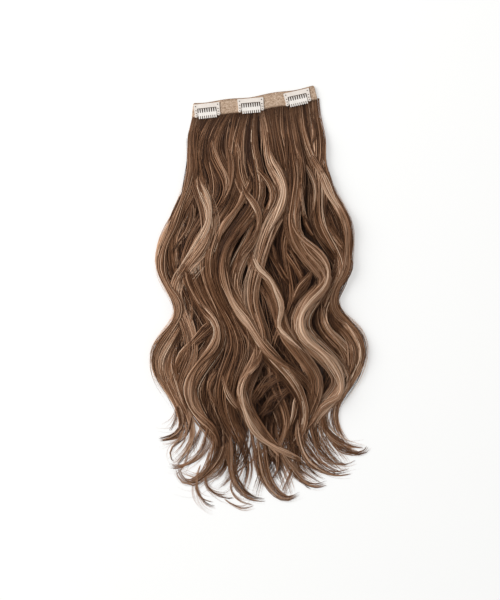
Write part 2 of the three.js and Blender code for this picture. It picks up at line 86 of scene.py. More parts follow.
# Hair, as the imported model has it
HAIR_LENGTH = 480 * MM
HALF_SPREAD = 120 * MM
HAIR_THICKNESS = 24 * MM
LAYER_SHARE = 0.66
RIM_SHARE = 0.25
LOCK_BREADTH = 23 * MM
LOCK_DEPTH = 8 * MM
ROOT_BREADTH_SHARE = 0.62
ROOT_DEPTH_SHARE = 0.2
TIP_SHARE = 0.13
TAPER_SHARE = 0.32
RISE_SHARE = 0.14
CURL_LIFT = 1.2 * MM
CURL_WAVES = 3.6
CURL_SHIFT = 5
ROOT_OVERRUN = 2.5 * MM

# How the hair leaves the tape: flat in the pocket, then rising to its full height
POCKET_HEIGHT = BAND_LAYER + BAND_POCKET / 2
POCKET_SPREAD = 0.35 * MM
RISE_RUN = 42 * MM

# The under layer: down, left, right, thick
UNDER_LAYER = np.array([
    (0.0, -0.57, 0.57, 0.09),
    (0.045, -0.59, 0.6, 0.26),
    (0.115, -0.6, 0.62, 0.5),
    (0.175, -0.58, 0.61, 0.68),
    (0.25, -0.66, 0.74, 0.84),
    (0.32, -0.8, 0.87, 0.95),
    (0.39, -0.86, 0.87, 1.0),
    (0.455, -0.8, 0.77, 1.0),
    (0.515, -0.72, 0.75, 1.0),
    (0.58, -0.82, 0.91, 1.0),
    (0.645, -0.88, 0.97, 0.94),
    (0.71, -0.8, 0.87, 0.82),
    (0.775, -0.66, 0.68, 0.62),
    (0.83, -0.5, 0.56, 0.42),
    (0.88, -0.28, 0.36, 0.16),
    (0.912, -0.06, 0.18, 0.08),
])
LAYER_END = 0.81

# The locks: name, root, breadth, level, bends (down, across), tones from root to tip, 0 brown to 1 blond
# The tones are the hair's own colour, together with painted light where a lock's bend faces the light and
# painted shade at its turns and under crossings
LOCKS = [
    ("left_edge", -0.95, 0.5, 0.05,
     [(0.1, -0.625), (0.17, -0.61), (0.25, -0.71), (0.4, -0.93), (0.52, -0.75), (0.64, -0.985), (0.77, -0.75),
      (0.84, -0.77), (0.845, -0.93)],
     (0.3, 0.42, 0.55, 0.5, 0.55, 0.45)),
    ("left_inner", -0.84, 0.9, 0.3,
     [(0.1, -0.52), (0.2, -0.6), (0.33, -0.8), (0.43, -0.76), (0.52, -0.67), (0.65, -0.86), (0.78, -0.66),
      (0.84, -0.64), (0.9, -0.83)],
     (0.3, 0.3, 0.3, 0.4, 0.45, 0.4)),
    ("left_light", -0.7, 0.85, 0.75,
     [(0.12, -0.58), (0.185, -0.555), (0.275, -0.455), (0.36, -0.5), (0.46, -0.77), (0.53, -0.7),
      (0.62, -0.62), (0.7, -0.72), (0.78, -0.66), (0.88, -0.58)],
     (0.3, 0.5, 0.8, 0.65, 0.45, 0.4)),
    ("left_back", -0.56, 0.9, 0.35,
     [(0.12, -0.46), (0.2, -0.38), (0.3, -0.5), (0.42, -0.6), (0.54, -0.4), (0.62, -0.44), (0.72, -0.6),
      (0.84, -0.36), (0.9, -0.3), (0.95, -0.575)],
     (0.25, 0.35, 0.25, 0.3, 0.35, 0.4)),
    ("left_curl", -0.42, 0.85, 0.6,
     [(0.12, -0.4), (0.2, -0.28), (0.28, -0.42), (0.42, -0.66), (0.52, -0.46), (0.59, -0.37), (0.7, -0.63),
      (0.8, -0.48), (0.87, -0.34), (0.93, -0.5), (0.915, -0.765)],
     (0.3, 0.4, 0.35, 0.5, 0.6, 0.5)),
    ("left_sweep", -0.28, 0.95, 0.5,
     [(0.12, -0.2), (0.2, -0.16), (0.3, -0.33), (0.4, -0.45), (0.5, -0.34), (0.6, -0.18), (0.7, -0.28),
      (0.8, -0.22), (0.9, -0.06), (0.985, -0.145)],
     (0.3, 0.35, 0.4, 0.35, 0.35, 0.4)),
    ("middle_twist", -0.14, 0.8, 0.7,
     [(0.1, -0.16), (0.2, -0.12), (0.27, 0.03), (0.36, -0.07), (0.45, -0.2), (0.55, -0.06), (0.62, 0.02),
      (0.72, -0.1), (0.8, 0.0), (0.88, 0.2), (0.985, 0.35)],
     (0.3, 0.45, 0.5, 0.35, 0.35, 0.4)),
    ("long_sweep", -0.03, 0.75, 0.95,
     [(0.12, -0.02), (0.24, 0.02), (0.32, -0.18), (0.42, -0.305), (0.52, -0.14), (0.62, 0.12), (0.72, 0.43),
      (0.8, 0.48), (0.88, 0.3), (0.95, 0.14)],
     (0.3, 0.35, 0.4, 0.6, 0.5, 0.4)),
    ("centre_light", 0.1, 0.75, 0.85,
     [(0.08, 0.13), (0.16, 0.18), (0.22, 0.295), (0.3, 0.18), (0.4, 0.04), (0.5, -0.02), (0.6, 0.08),
      (0.72, -0.12), (0.8, 0.02), (0.87, 0.24), (0.952, 0.7)],
     (0.35, 0.6, 0.6, 0.4, 0.45, 0.45)),
    ("cross_light", 0.26, 0.8, 0.55,
     [(0.12, 0.22), (0.24, 0.24), (0.38, 0.0), (0.48, 0.2), (0.58, 0.32), (0.69, 0.6), (0.78, 0.52),
      (0.88, 0.42), (0.99, 0.25)],
     (0.3, 0.4, 0.35, 0.5, 0.5, 0.4)),
    ("right_dark", 0.42, 0.95, 0.3,
     [(0.12, 0.3), (0.22, 0.42), (0.34, 0.28), (0.48, 0.36), (0.58, 0.22), (0.7, 0.2), (0.8, 0.32),
      (0.92, 0.1), (0.985, 0.02)],
     (0.25, 0.3, 0.15, 0.2, 0.3, 0.4)),
    ("big_light", 0.55, 0.9, 0.95,
     [(0.12, 0.4), (0.2, 0.42), (0.295, 0.38), (0.38, 0.54), (0.44, 0.71), (0.5, 0.54), (0.555, 0.465),
      (0.62, 0.67), (0.69, 0.865), (0.75, 0.7), (0.8, 0.56), (0.87, 0.68), (0.925, 0.91)],
     (0.3, 0.4, 0.6, 0.7, 0.7, 0.45)),
    ("right_inner", 0.7, 0.9, 0.6,
     [(0.1, 0.5), (0.2, 0.61), (0.3, 0.64), (0.41, 0.86), (0.54, 0.68), (0.65, 0.94), (0.77, 0.7),
      (0.83, 0.82), (0.86, 1.11)],
     (0.3, 0.5, 0.4, 0.45, 0.5, 0.45)),
    ("right_edge", 0.84, 0.6, 0.3,
     [(0.1, 0.59), (0.18, 0.655), (0.26, 0.83), (0.37, 0.93), (0.49, 0.77), (0.55, 0.9), (0.625, 1.05),
      (0.76, 0.8), (0.83, 0.86), (0.87, 1.0)],
     (0.3, 0.45, 0.45, 0.5, 0.5, 0.45)),
    ("right_shoulder", 0.95, 0.8, 0.05,
     [(0.05, 0.615), (0.12, 0.63), (0.19, 0.61), (0.28, 0.72), (0.4, 0.86), (0.49, 0.72), (0.58, 0.84),
      (0.65, 0.96), (0.77, 0.66), (0.84, 0.78), (0.9, 0.95)],
     (0.3, 0.35, 0.4, 0.4, 0.4, 0.4)),
]

# Locks under the others where the hair thins out: name, breadth, level, tones, bends (down, across)
# Their low tones are partly painted shade under the locks above them
LOW_LOCKS = [
    ("low_left", 1.2, 0.0, (0.25, 0.3, 0.45),
     [(0.5, -0.5), (0.6, -0.45), (0.7, -0.5), (0.78, -0.42), (0.85, -0.32), (0.9, -0.4), (0.935, -0.52),
      (0.95, -0.6)]),
    ("low_left_middle", 1.3, 0.0, (0.2, 0.25, 0.45),
     [(0.5, -0.2), (0.6, -0.1), (0.7, -0.25), (0.8, -0.12), (0.87, -0.14), (0.92, -0.22), (0.955, -0.33),
      (0.965, -0.4)]),
    ("low_middle", 1.4, 0.0, (0.1, 0.2, 0.45),
     [(0.5, 0.15), (0.6, 0.3), (0.68, 0.16), (0.76, 0.04), (0.84, 0.1), (0.9, 0.16), (0.94, 0.2),
      (0.965, 0.28)]),
    ("low_left_gap", 1.0, 0.1, (0.25, 0.3, 0.4),
     [(0.66, -0.38), (0.72, -0.37), (0.78, -0.33), (0.84, -0.27), (0.89, -0.25), (0.94, -0.3)]),
    ("low_right_gap", 0.9, 0.1, (0.2, 0.3, 0.4),
     [(0.66, 0.5), (0.72, 0.44), (0.78, 0.39), (0.84, 0.38), (0.9, 0.44), (0.94, 0.52)]),
    ("low_gap", 0.9, 0.1, (0.1, 0.25, 0.45),
     [(0.66, 0.34), (0.72, 0.24), (0.79, 0.17), (0.86, 0.2), (0.93, 0.32)]),
    ("low_middle_right", 1.4, 0.0, (0.1, 0.2, 0.45),
     [(0.5, 0.4), (0.6, 0.52), (0.68, 0.4), (0.76, 0.26), (0.84, 0.36), (0.89, 0.5), (0.92, 0.64),
      (0.935, 0.75)]),
    ("low_right", 1.3, 0.0, (0.2, 0.25, 0.45),
     [(0.5, 0.6), (0.6, 0.72), (0.68, 0.74), (0.76, 0.62), (0.82, 0.62), (0.86, 0.7), (0.89, 0.8),
      (0.9, 0.88)]),
    ("deep_curl", 0.75, 0.75, (0.15, 0.35, 0.45, 0.35, 0.2),
     [(0.655, 0.4), (0.666, 0.33), (0.68, 0.25), (0.695, 0.16), (0.712, 0.07), (0.735, 0.0), (0.765, -0.03)]),
    ("deep_curl_low", 0.75, 0.6, (0.1, 0.25, 0.4, 0.3, 0.15),
     [(0.69, 0.44), (0.705, 0.36), (0.718, 0.27), (0.735, 0.19), (0.757, 0.13), (0.79, 0.1)]),
]

# Loose wisps over the locks: name, breadth in millimetres, tones from start to end, places (down, across)
# Their tones are the hair's own streaks, together with painted light on the waves' bends and painted shade in
# the hollows between locks
WISPS = [
    ("deep_middle", 9, (0.1, 0.2, 0.1), [(0.33, 0.16), (0.38, 0.2), (0.43, 0.3), (0.47, 0.42)]),
    ("deep_right_upper", 8, (0.2, 0.3, 0.25), [(0.255, 0.47), (0.285, 0.5), (0.32, 0.56), (0.35, 0.63)]),
    ("deep_right", 12, (0.2, 0.35, 0.3, 0.2), [(0.345, 0.28), (0.39, 0.375), (0.43, 0.47), (0.467, 0.53)]),
    ("deep_right_low", 10, (0.2, 0.4, 0.3, 0.2),
     [(0.4, 0.6), (0.43, 0.55), (0.46, 0.46), (0.49, 0.39), (0.52, 0.36)]),
    ("middle_brown", 9, (0.35, 0.45, 0.45, 0.35),
     [(0.146, -0.043), (0.176, 0.064), (0.207, 0.156), (0.234, 0.171), (0.265, 0.133), (0.295, 0.064),
      (0.326, 0.018)]),
    ("left_fall_brown", 14, (0.3, 0.4, 0.5, 0.45, 0.4),
     [(0.53, -0.36), (0.555, -0.43), (0.58, -0.53), (0.61, -0.655), (0.645, -0.74), (0.685, -0.77),
      (0.72, -0.73)]),
    ("left_rim", 9, (0.4, 0.5, 0.6, 0.6, 0.55, 0.6, 0.45),
     [(0.0, -0.56), (0.02, -0.58), (0.045, -0.61), (0.073, -0.632), (0.1, -0.64), (0.131, -0.64),
      (0.17, -0.64), (0.214, -0.68), (0.264, -0.75), (0.314, -0.825), (0.364, -0.91), (0.414, -0.93),
      (0.464, -0.84), (0.514, -0.755), (0.564, -0.845), (0.614, -0.975), (0.664, -0.985), (0.714, -0.885),
      (0.764, -0.765), (0.8, -0.77)]),
    ("left_shoulder_inner", 8, (0.35, 0.4, 0.35),
     [(0.03, -0.56), (0.08, -0.59), (0.13, -0.6), (0.18, -0.595), (0.23, -0.64)]),
    ("left_fall_light", 6, (0.55, 0.85, 0.8, 0.6),
     [(0.537, -0.701), (0.579, -0.793), (0.617, -0.89), (0.648, -0.93), (0.686, -0.9), (0.728, -0.82)]),
    ("left_streak", 3.5, (0.3, 0.6, 0.8, 0.75, 0.5),
     [(0.035, -0.37), (0.069, -0.395), (0.104, -0.41), (0.134, -0.372), (0.165, -0.311), (0.192, -0.27),
      (0.226, -0.288), (0.257, -0.334), (0.28, -0.38)]),
    ("left_streak_inner", 6, (0.35, 0.45, 0.35),
     [(0.085, -0.288), (0.138, -0.227), (0.184, -0.227), (0.238, -0.288), (0.284, -0.395)]),
    ("small_glint", 3, (0.35, 0.6, 0.35),
     [(0.04, -0.21), (0.077, -0.204), (0.104, -0.173), (0.134, -0.142), (0.17, -0.13)]),
    ("shoulder_light", 9, (0.6, 0.95, 0.9, 0.85, 0.7),
     [(0.157, -0.556), (0.199, -0.548), (0.23, -0.495), (0.268, -0.449), (0.307, -0.472), (0.345, -0.556),
      (0.387, -0.67), (0.433, -0.755), (0.475, -0.778)]),
    ("under_light", 5, (0.4, 0.6, 0.5),
     [(0.23, -0.64), (0.276, -0.617), (0.322, -0.686), (0.36, -0.793), (0.387, -0.847)]),
    ("left_cross", 8, (0.45, 0.7, 0.65, 0.6),
     [(0.284, -0.41), (0.337, -0.472), (0.383, -0.594), (0.425, -0.701), (0.471, -0.739)]),
    ("left_sweep_light", 7, (0.35, 0.45, 0.6, 0.4),
     [(0.17, -0.03), (0.2, -0.05), (0.23, -0.104), (0.268, -0.196), (0.303, -0.303), (0.337, -0.357),
      (0.38, -0.4)]),
    ("middle_wave", 8, (0.4, 0.7, 0.6, 0.5, 0.6, 0.5),
     [(0.176, -0.127), (0.215, -0.104), (0.249, -0.012), (0.287, 0.041), (0.33, 0.003), (0.368, -0.104),
      (0.406, -0.165), (0.448, -0.15), (0.489, -0.073)]),
    ("middle_glints", 3, (0.3, 0.6, 0.35),
     [(0.11, -0.08), (0.165, -0.03), (0.196, 0.03), (0.222, 0.11), (0.25, 0.15)]),
    ("centre_ribbon", 9, (0.35, 0.5, 0.85, 1.0, 0.85, 0.8, 0.5),
     [(0.03, 0.13), (0.062, 0.133), (0.1, 0.141), (0.138, 0.171), (0.176, 0.256), (0.215, 0.301),
      (0.257, 0.271), (0.299, 0.187), (0.337, 0.118), (0.372, 0.102), (0.4, 0.12)]),
    ("top_streak", 2.5, (0.5, 0.75, 0.5), [(0.022, 0.327), (0.054, 0.332), (0.092, 0.347)]),
    ("right_light", 4, (0.4, 0.75, 0.75, 0.55),
     [(0.07, 0.385), (0.1, 0.4), (0.131, 0.439), (0.169, 0.539), (0.207, 0.6), (0.249, 0.592), (0.295, 0.562),
      (0.33, 0.57)]),
    ("right_shoulder_light", 9, (0.45, 0.75, 0.8, 0.6, 0.55),
     [(0.108, 0.516), (0.142, 0.6), (0.184, 0.692), (0.23, 0.768), (0.268, 0.865), (0.314, 0.925),
      (0.353, 0.945), (0.387, 0.91)]),
    ("right_strand", 4, (0.5, 0.7, 0.6),
     [(0.123, 0.6), (0.169, 0.661), (0.215, 0.699), (0.257, 0.707), (0.303, 0.684)]),
    ("right_centre_glint", 5, (0.35, 0.6, 0.45),
     [(0.169, 0.455), (0.203, 0.455), (0.245, 0.462), (0.284, 0.5), (0.318, 0.554)]),
    ("right_inner_streak", 5, (0.35, 0.6, 0.5, 0.4),
     [(0.268, 0.677), (0.307, 0.738), (0.341, 0.83), (0.364, 0.906), (0.391, 0.937)]),
    ("right_root_glint", 3, (0.35, 0.5, 0.4), [(0.035, 0.62), (0.073, 0.6), (0.111, 0.569)]),
    ("big_wave", 11, (0.4, 0.65, 0.7, 0.75, 0.95, 0.9, 0.9, 0.7, 0.5, 0.4),
     [(0.23, 0.401), (0.276, 0.37), (0.314, 0.401), (0.349, 0.523), (0.383, 0.661), (0.418, 0.73),
      (0.456, 0.692), (0.49, 0.56), (0.541, 0.455), (0.583, 0.508), (0.617, 0.661), (0.656, 0.799),
      (0.701, 0.868), (0.732, 0.83), (0.751, 0.692), (0.789, 0.585), (0.82, 0.478), (0.85, 0.45),
      (0.885, 0.52), (0.915, 0.69)]),
    ("lower_left_wave", 10, (0.4, 0.9, 0.8, 0.5, 0.8, 0.75, 0.45, 0.35, 0.35),
     [(0.464, -0.64), (0.499, -0.533), (0.533, -0.418), (0.567, -0.364), (0.61, -0.41), (0.644, -0.533),
      (0.682, -0.632), (0.724, -0.655), (0.763, -0.602), (0.79, -0.487), (0.815, -0.39), (0.847, -0.349),
      (0.885, -0.38), (0.92, -0.47), (0.94, -0.61)]),
    ("long_ribbon", 9, (0.4, 0.45, 0.7, 0.95, 0.7, 0.5, 0.55, 0.4),
     [(0.276, -0.073), (0.322, -0.165), (0.36, -0.272), (0.402, -0.311), (0.44, -0.295), (0.464, -0.268),
      (0.499, -0.211), (0.537, -0.104), (0.579, 0.018), (0.617, 0.125), (0.648, 0.278), (0.678, 0.447),
      (0.717, 0.569), (0.759, 0.623), (0.793, 0.569), (0.82, 0.477)]),
    ("centre_low", 9, (0.6, 0.95, 0.7, 0.5, 0.75, 0.6, 0.4),
     [(0.345, -0.07), (0.379, -0.02), (0.41, 0.034), (0.44, 0.156), (0.471, 0.217), (0.502, 0.262),
      (0.533, 0.248), (0.552, 0.233), (0.579, 0.309), (0.61, 0.447), (0.644, 0.554), (0.678, 0.6)]),
    ("centre_curl", 8, (0.4, 0.75, 0.8, 0.55, 0.45),
     [(0.602, 0.079), (0.644, 0.026), (0.675, -0.073), (0.705, -0.127), (0.744, -0.104), (0.778, 0.003),
      (0.809, 0.141)]),
    ("low_ribbon", 7, (0.4, 0.7, 0.85, 0.75, 0.7, 0.55, 0.45),
     [(0.64, 0.03), (0.675, -0.07), (0.705, -0.125), (0.735, -0.122), (0.763, -0.089), (0.805, -0.012),
      (0.839, 0.11), (0.862, 0.263), (0.881, 0.416), (0.908, 0.554), (0.95, 0.692)]),
    ("left_low_glint", 4, (0.4, 0.8, 0.4),
     [(0.64, -0.38), (0.682, -0.303), (0.717, -0.265), (0.744, -0.196), (0.77, -0.104), (0.8, 0.0)]),
    ("short_bright", 4, (0.3, 0.85, 0.35),
     [(0.7, 0.46), (0.747, 0.401), (0.778, 0.386), (0.805, 0.347), (0.84, 0.33)]),
    ("right_rim", 9, (0.4, 0.6, 0.6, 0.5, 0.45, 0.4),
     [(0.0, 0.58), (0.02, 0.63), (0.045, 0.662), (0.092, 0.685), (0.131, 0.69), (0.164, 0.705),
      (0.214, 0.765), (0.264, 0.865), (0.314, 0.935), (0.364, 0.935), (0.414, 0.92), (0.464, 0.815),
      (0.514, 0.815), (0.564, 1.01), (0.614, 1.085), (0.664, 1.055), (0.714, 0.955), (0.764, 0.83),
      (0.8, 0.805), (0.83, 0.83)]),
    ("low_brown_curl", 8, (0.3, 0.4, 0.35),
     [(0.65, -0.33), (0.671, -0.38), (0.709, -0.441), (0.747, -0.38), (0.767, -0.288)]),
    ("low_left_back", 6, (0.3, 0.5, 0.3),
     [(0.6, -0.78), (0.65, -0.8), (0.7, -0.76), (0.75, -0.68), (0.79, -0.6)]),
    ("right_low_sweep", 7, (0.3, 0.6, 0.4),
     [(0.52, 0.72), (0.55, 0.82), (0.585, 0.94), (0.63, 0.98), (0.68, 0.93), (0.73, 0.83)]),
]

# Curled ends on the surface: name, breadth in millimetres, tones, places (down, across)
TIPS = [
    ("left_thin", 2, (0.35, 0.45), [(0.74, -0.8), (0.766, -0.785), (0.79, -0.796), (0.818, -0.854)]),
    ("left_hook", 6, (0.4, 0.4),
     [(0.73, -0.79), (0.77, -0.744), (0.801, -0.732), (0.826, -0.808), (0.839, -0.969)]),
    ("left_hook_low", 4, (0.35, 0.4),
     [(0.74, -0.72), (0.782, -0.686), (0.816, -0.701), (0.833, -0.793), (0.843, -0.946)]),
    ("left_loop", 2, (0.3, 0.45),
     [(0.76, -0.63), (0.797, -0.64), (0.832, -0.701), (0.858, -0.823), (0.881, -0.839), (0.899, -0.785)]),
    ("left_sickle", 7, (0.3, 0.4),
     [(0.77, -0.44), (0.82, -0.456), (0.866, -0.517), (0.895, -0.64), (0.908, -0.778), (0.904, -0.869)]),
    ("left_sickle_thin", 3, (0.35, 0.4),
     [(0.77, -0.5), (0.809, -0.533), (0.851, -0.609), (0.889, -0.732), (0.91, -0.785)]),
    ("left_curl_end", 5, (0.3, 0.45),
     [(0.79, -0.37), (0.828, -0.395), (0.885, -0.441), (0.929, -0.548), (0.943, -0.686), (0.92, -0.759),
      (0.897, -0.77)]),
    ("left_curl_low", 5, (0.3, 0.45),
     [(0.82, -0.31), (0.877, -0.318), (0.923, -0.456), (0.95, -0.625), (0.937, -0.732)]),
    ("low_loop", 2, (0.3, 0.5),
     [(0.87, -0.45), (0.923, -0.487), (0.954, -0.479), (0.973, -0.395), (0.978, -0.272)]),
    ("low_loop_outer", 1.5, (0.4, 0.55),
     [(0.9, -0.54), (0.943, -0.586), (0.973, -0.571), (0.99, -0.502), (0.998, -0.403)]),
    ("low_left_end", 7, (0.3, 0.4),
     [(0.82, -0.24), (0.885, -0.242), (0.935, -0.211), (0.969, -0.119), (0.987, 0.003), (0.988, 0.118)]),
    ("low_left_inner", 5, (0.35, 0.4),
     [(0.84, -0.2), (0.904, -0.196), (0.946, -0.165), (0.973, -0.073), (0.985, 0.034)]),
    ("low_middle_end", 8, (0.3, 0.35),
     [(0.82, 0.03), (0.885, 0.049), (0.935, 0.095), (0.973, 0.202), (0.985, 0.34), (0.971, 0.455)]),
    ("low_middle_inner", 6, (0.35, 0.35),
     [(0.84, 0.1), (0.904, 0.125), (0.95, 0.187), (0.977, 0.294), (0.983, 0.386)]),
    ("low_right_end", 7, (0.4, 0.4),
     [(0.82, 0.22), (0.87, 0.278), (0.912, 0.37), (0.944, 0.493), (0.955, 0.615), (0.947, 0.735)]),
    ("low_right_inner", 3, (0.35, 0.4),
     [(0.84, 0.29), (0.885, 0.324), (0.923, 0.432), (0.956, 0.539), (0.962, 0.585)]),
    ("right_sickle", 8, (0.35, 0.4),
     [(0.78, 0.43), (0.832, 0.447), (0.881, 0.523), (0.912, 0.661), (0.925, 0.83), (0.918, 0.983)]),
    ("right_sickle_inner", 5, (0.4, 0.4),
     [(0.77, 0.46), (0.82, 0.477), (0.874, 0.585), (0.908, 0.738), (0.922, 0.891)]),
    ("right_thin", 3, (0.35, 0.4),
     [(0.78, 0.55), (0.828, 0.585), (0.866, 0.638), (0.893, 0.753), (0.902, 0.891), (0.9, 0.975)]),
    ("right_hook", 8, (0.3, 0.35),
     [(0.76, 0.67), (0.801, 0.692), (0.835, 0.768), (0.862, 0.891), (0.872, 1.029), (0.866, 1.1),
      (0.853, 1.14)]),
    ("right_hook_upper", 5, (0.35, 0.4),
     [(0.76, 0.7), (0.809, 0.715), (0.843, 0.83), (0.856, 0.967), (0.856, 1.11)]),
    ("right_curl_thin", 2, (0.35, 0.5),
     [(0.73, 0.85), (0.759, 0.83), (0.789, 0.814), (0.818, 0.845), (0.841, 0.906)]),
    ("low_hook_back", 4, (0.35, 0.4), [(0.83, 0.26), (0.877, 0.24), (0.912, 0.233), (0.946, 0.171)]),
    ("low_straight", 6, (0.3, 0.35),
     [(0.8, -0.04), (0.847, -0.012), (0.885, 0.018), (0.923, 0.034), (0.958, 0.079)]),
    ("low_loop_left", 1.5, (0.4, 0.5),
     [(0.93, -0.57), (0.955, -0.575), (0.98, -0.54), (1.0, -0.47), (1.005, -0.38)]),
    ("low_loop_middle", 1.5, (0.4, 0.5),
     [(0.93, -0.49), (0.955, -0.47), (0.975, -0.38), (0.983, -0.27), (0.98, -0.2)]),
    ("low_arc", 1.2, (0.4, 0.5), [(0.985, -0.3), (1.003, -0.2), (1.01, -0.1), (1.0, 0.0)]),
    ("low_cross", 2, (0.35, 0.5),
     [(0.83, 0.2), (0.851, 0.141), (0.881, 0.018), (0.908, -0.119), (0.927, -0.242)]),
    ("low_fine", 1.5, (0.4, 0.55), [(0.92, -0.2), (0.962, -0.235), (0.99, -0.15), (1.0, 0.0)]),
    ("left_fine", 1.5, (0.4, 0.55), [(0.82, -0.6), (0.87, -0.66), (0.91, -0.72), (0.93, -0.8)]),
    ("right_fine", 1.5, (0.4, 0.55), [(0.83, 0.66), (0.87, 0.75), (0.9, 0.9), (0.89, 1.02)]),
]

# Strands
GUIDE_POINTS = 54
LOCK_WISPS = 9
LOCK_STRANDS = 10
FILL_POINTS = 38
FILL_WISPS = 6
FILL_STRANDS = 6
FILL_BREADTH = 1.3
FILL_LEVEL = 0.12
FILL_END = 0.87
FILL_STEPS = 400
# Fill tones are the hair's dark brown, made darker still as painted shade where the fills lie under the locks
FILL_SHADE_TONES = (0.22, 0.22, 0.14, 0.14, 0.3, 0.45)
POINT_SPACING = 7.5 * MM
STRAND_PACKING = 3.2
WISP_FLATNESS = 0.26
STRAND_RADIUS = 0.42 * MM
WISP_RADIUS = 0.36 * MM
TIP_RADIUS = 0.26 * MM
STRAY_RADIUS = 0.17 * MM
STRAYS = 110
FRINGE = 70
FRINGE_POINTS = 26
FRINGE_RADIUS = 0.1 * MM
FRINGE_TONE = 0.85
FINE_WISPS = 110
TIP_HAZE = 5
HAZE_POINTS = 22
WISP_FRINGE = 0.26
WISP_START = 22 * MM
WISP_FADE = 24 * MM
STREAK_TONE = 0.11
HAIR_TIP = 0.12
LEAST_SPREAD = 0.3 * MM
LEAST_LIFT = 0.2 * MM
PINCH_RUN = 55 * MM
RELIEF_REACH = 1.6
SKIN_STEPS = 400
EDGE_FADE = 0.45
TIP_FRINGE = 0.05
RELIEF_CELL = 2 * MM
SURFACE_TONE = 0.3

rng = np.random.default_rng(20)


# Shader and geometry node helpers

class Wire:
    """A number that runs through a node tree: arithmetic on it adds the Math nodes."""

    def __init__(self, tree, socket):
        self.tree = tree
        self.socket = socket

    def math(self, operation, *others):
        return self.tree.node("ShaderNodeMath", {"operation": operation}, self, *others)

    def __add__(self, other):
        return self.math("ADD", other)

    __radd__ = __add__

    def __mul__(self, other):
        return self.math("MULTIPLY", other)

    __rmul__ = __mul__

    def __sub__(self, other):
        return self.math("SUBTRACT", other)

    def __rsub__(self, other):
        return self * -1.0 + other

    def __pow__(self, other):
        return self.math("POWER", other)


class Tree:
    """A node tree whose nodes are added by type, settings and inputs."""

    def __init__(self, tree):
        self.tree = tree

    def feed(self, socket, value):
        if isinstance(value, Wire):
            self.tree.links.new(value.socket, socket)
        else:
            socket.default_value = value

    def node(self, kind, settings=None, *values, out=0, **named):
        made = self.tree.nodes.new(kind)
        for key, value in (settings or {}).items():
            setattr(made, key, value)
        for index, value in enumerate(values):
            self.feed(made.inputs[index], value)
        for name, value in named.items():
            self.feed(made.inputs[name.replace("_", " ")], value)
        return Wire(self, made.outputs[out])

    def vector(self, x, y, z):
        return self.node("ShaderNodeCombineXYZ", None, x, y, z)

    def parts(self, vector):
        made = self.node("ShaderNodeSeparateXYZ", None, vector).socket.node
        return [Wire(self, made.outputs[i]) for i in range(3)]

    def scaled(self, vector, by):
        return self.node("ShaderNodeVectorMath", {"operation": "SCALE"}, Vector=vector, Scale=by)

    def summed(self, one, other):
        return self.node("ShaderNodeVectorMath", {"operation": "ADD"}, one, other)

    def clamped(self, value):
        return self.node("ShaderNodeClamp", None, value)

    def noise(self, vector, scale, detail=2.0):
        return self.node("ShaderNodeTexNoise", None, Vector=vector, Scale=scale, Detail=detail)


class Finish(Tree):
    """A material: its surface is one Principled shader."""

    def __init__(self, name, roughness, metallic=0.0, **constants):
        self.material = bpy.data.materials.new(name)
        self.material.use_nodes = True
        super().__init__(self.material.node_tree)
        self.surface = self.tree.nodes["Principled BSDF"]
        self.set("Roughness", roughness)
        self.set("Metallic", metallic)
        for socket, value in constants.items():
            self.set(socket.replace("_", " "), value)

    def set(self, socket, value):
        self.feed(self.surface.inputs[socket], value)

    def attribute(self, name):
        return self.node("ShaderNodeAttribute", {"attribute_name": name}, out=2)

    def place(self):
        return self.node("ShaderNodeTexCoord", None, out=3)

    def uv(self):
        return self.node("ShaderNodeTexCoord", None, out=2)

    def mix(self, share, one, other):
        made = self.tree.nodes.new("ShaderNodeMix")
        made.data_type = "RGBA"
        for index, value in ((0, share), (6, one), (7, other)):
            self.feed(made.inputs[index], value)
        return Wire(self, made.outputs[2])

    def ramp(self, share, stops):
        made = self.tree.nodes.new("ShaderNodeValToRGB")
        bar = made.color_ramp.elements
        while len(bar) < len(stops):
            bar.new(0.5)
        for element, (place, colour) in zip(bar, stops):
            element.position = place
            element.color = colour
        self.feed(made.inputs[0], share)
        return Wire(self, made.outputs[0])

    def bump(self, height, distance):
        self.set("Normal", self.node("ShaderNodeBump", None, Strength=1.0, Distance=distance, Height=height))


def paint(red, green, blue):
    """A linear colour from the 0 to 255 values seen on a screen."""
    def linear(value):
        value /= 255
        return value / 12.92 if value <= 0.04045 else ((value + 0.055) / 1.055) ** 2.4
    return (linear(red), linear(green), linear(blue), 1.0)


# Curves

def smooth(value):
    value = np.clip(value, 0, 1)
    return value * value * (3 - 2 * value)


def lerp(low, high, share):
    return low + (high - low) * share


def wave_through(bends, steps=400):
    """A natural cubic spline through the bends, which turns evenly as a lock of hair does."""
    bends = np.asarray(bends, float)
    run = np.concatenate([[0], np.cumsum(np.linalg.norm(np.diff(bends, axis=0), axis=1) ** 0.8)])
    gap = np.diff(run)
    count = len(bends)
    rows = np.eye(count)
    pull = np.zeros((count, 2))
    for i in range(1, count - 1):
        rows[i, i - 1:i + 2] = gap[i - 1], 2 * (gap[i - 1] + gap[i]), gap[i]
        pull[i] = 6 * ((bends[i + 1] - bends[i]) / gap[i] - (bends[i] - bends[i - 1]) / gap[i - 1])
    bend = np.linalg.solve(rows, pull)
    at = np.linspace(0, run[-1], steps)
    i = np.clip(np.searchsorted(run, at, side="right") - 1, 0, count - 2)
    before, after, span = (run[i + 1] - at)[:, None], (at - run[i])[:, None], gap[i][:, None]
    return ((bend[i] * before**3 + bend[i + 1] * after**3) / (6 * span)
            + (bends[i] / span - bend[i] * span / 6) * before
            + (bends[i + 1] / span - bend[i + 1] * span / 6) * after)


def run_of(line):
    return np.concatenate([[0], np.cumsum(np.linalg.norm(np.diff(line, axis=0), axis=1))])


def evenly(line, shares):
    """The points of a line at shares of its length."""
    run = run_of(line)
    at = np.asarray(shares) * run[-1]
    return np.stack([np.interp(at, run, line[:, i]) for i in range(line.shape[1])], 1)


def sideways(line):
    """The unit directions to the left of a flat line."""
    run = np.gradient(line[:, :2], axis=0)
    run /= np.linalg.norm(run, axis=1)[:, None]
    return np.stack([-run[:, 1], run[:, 0]], 1)


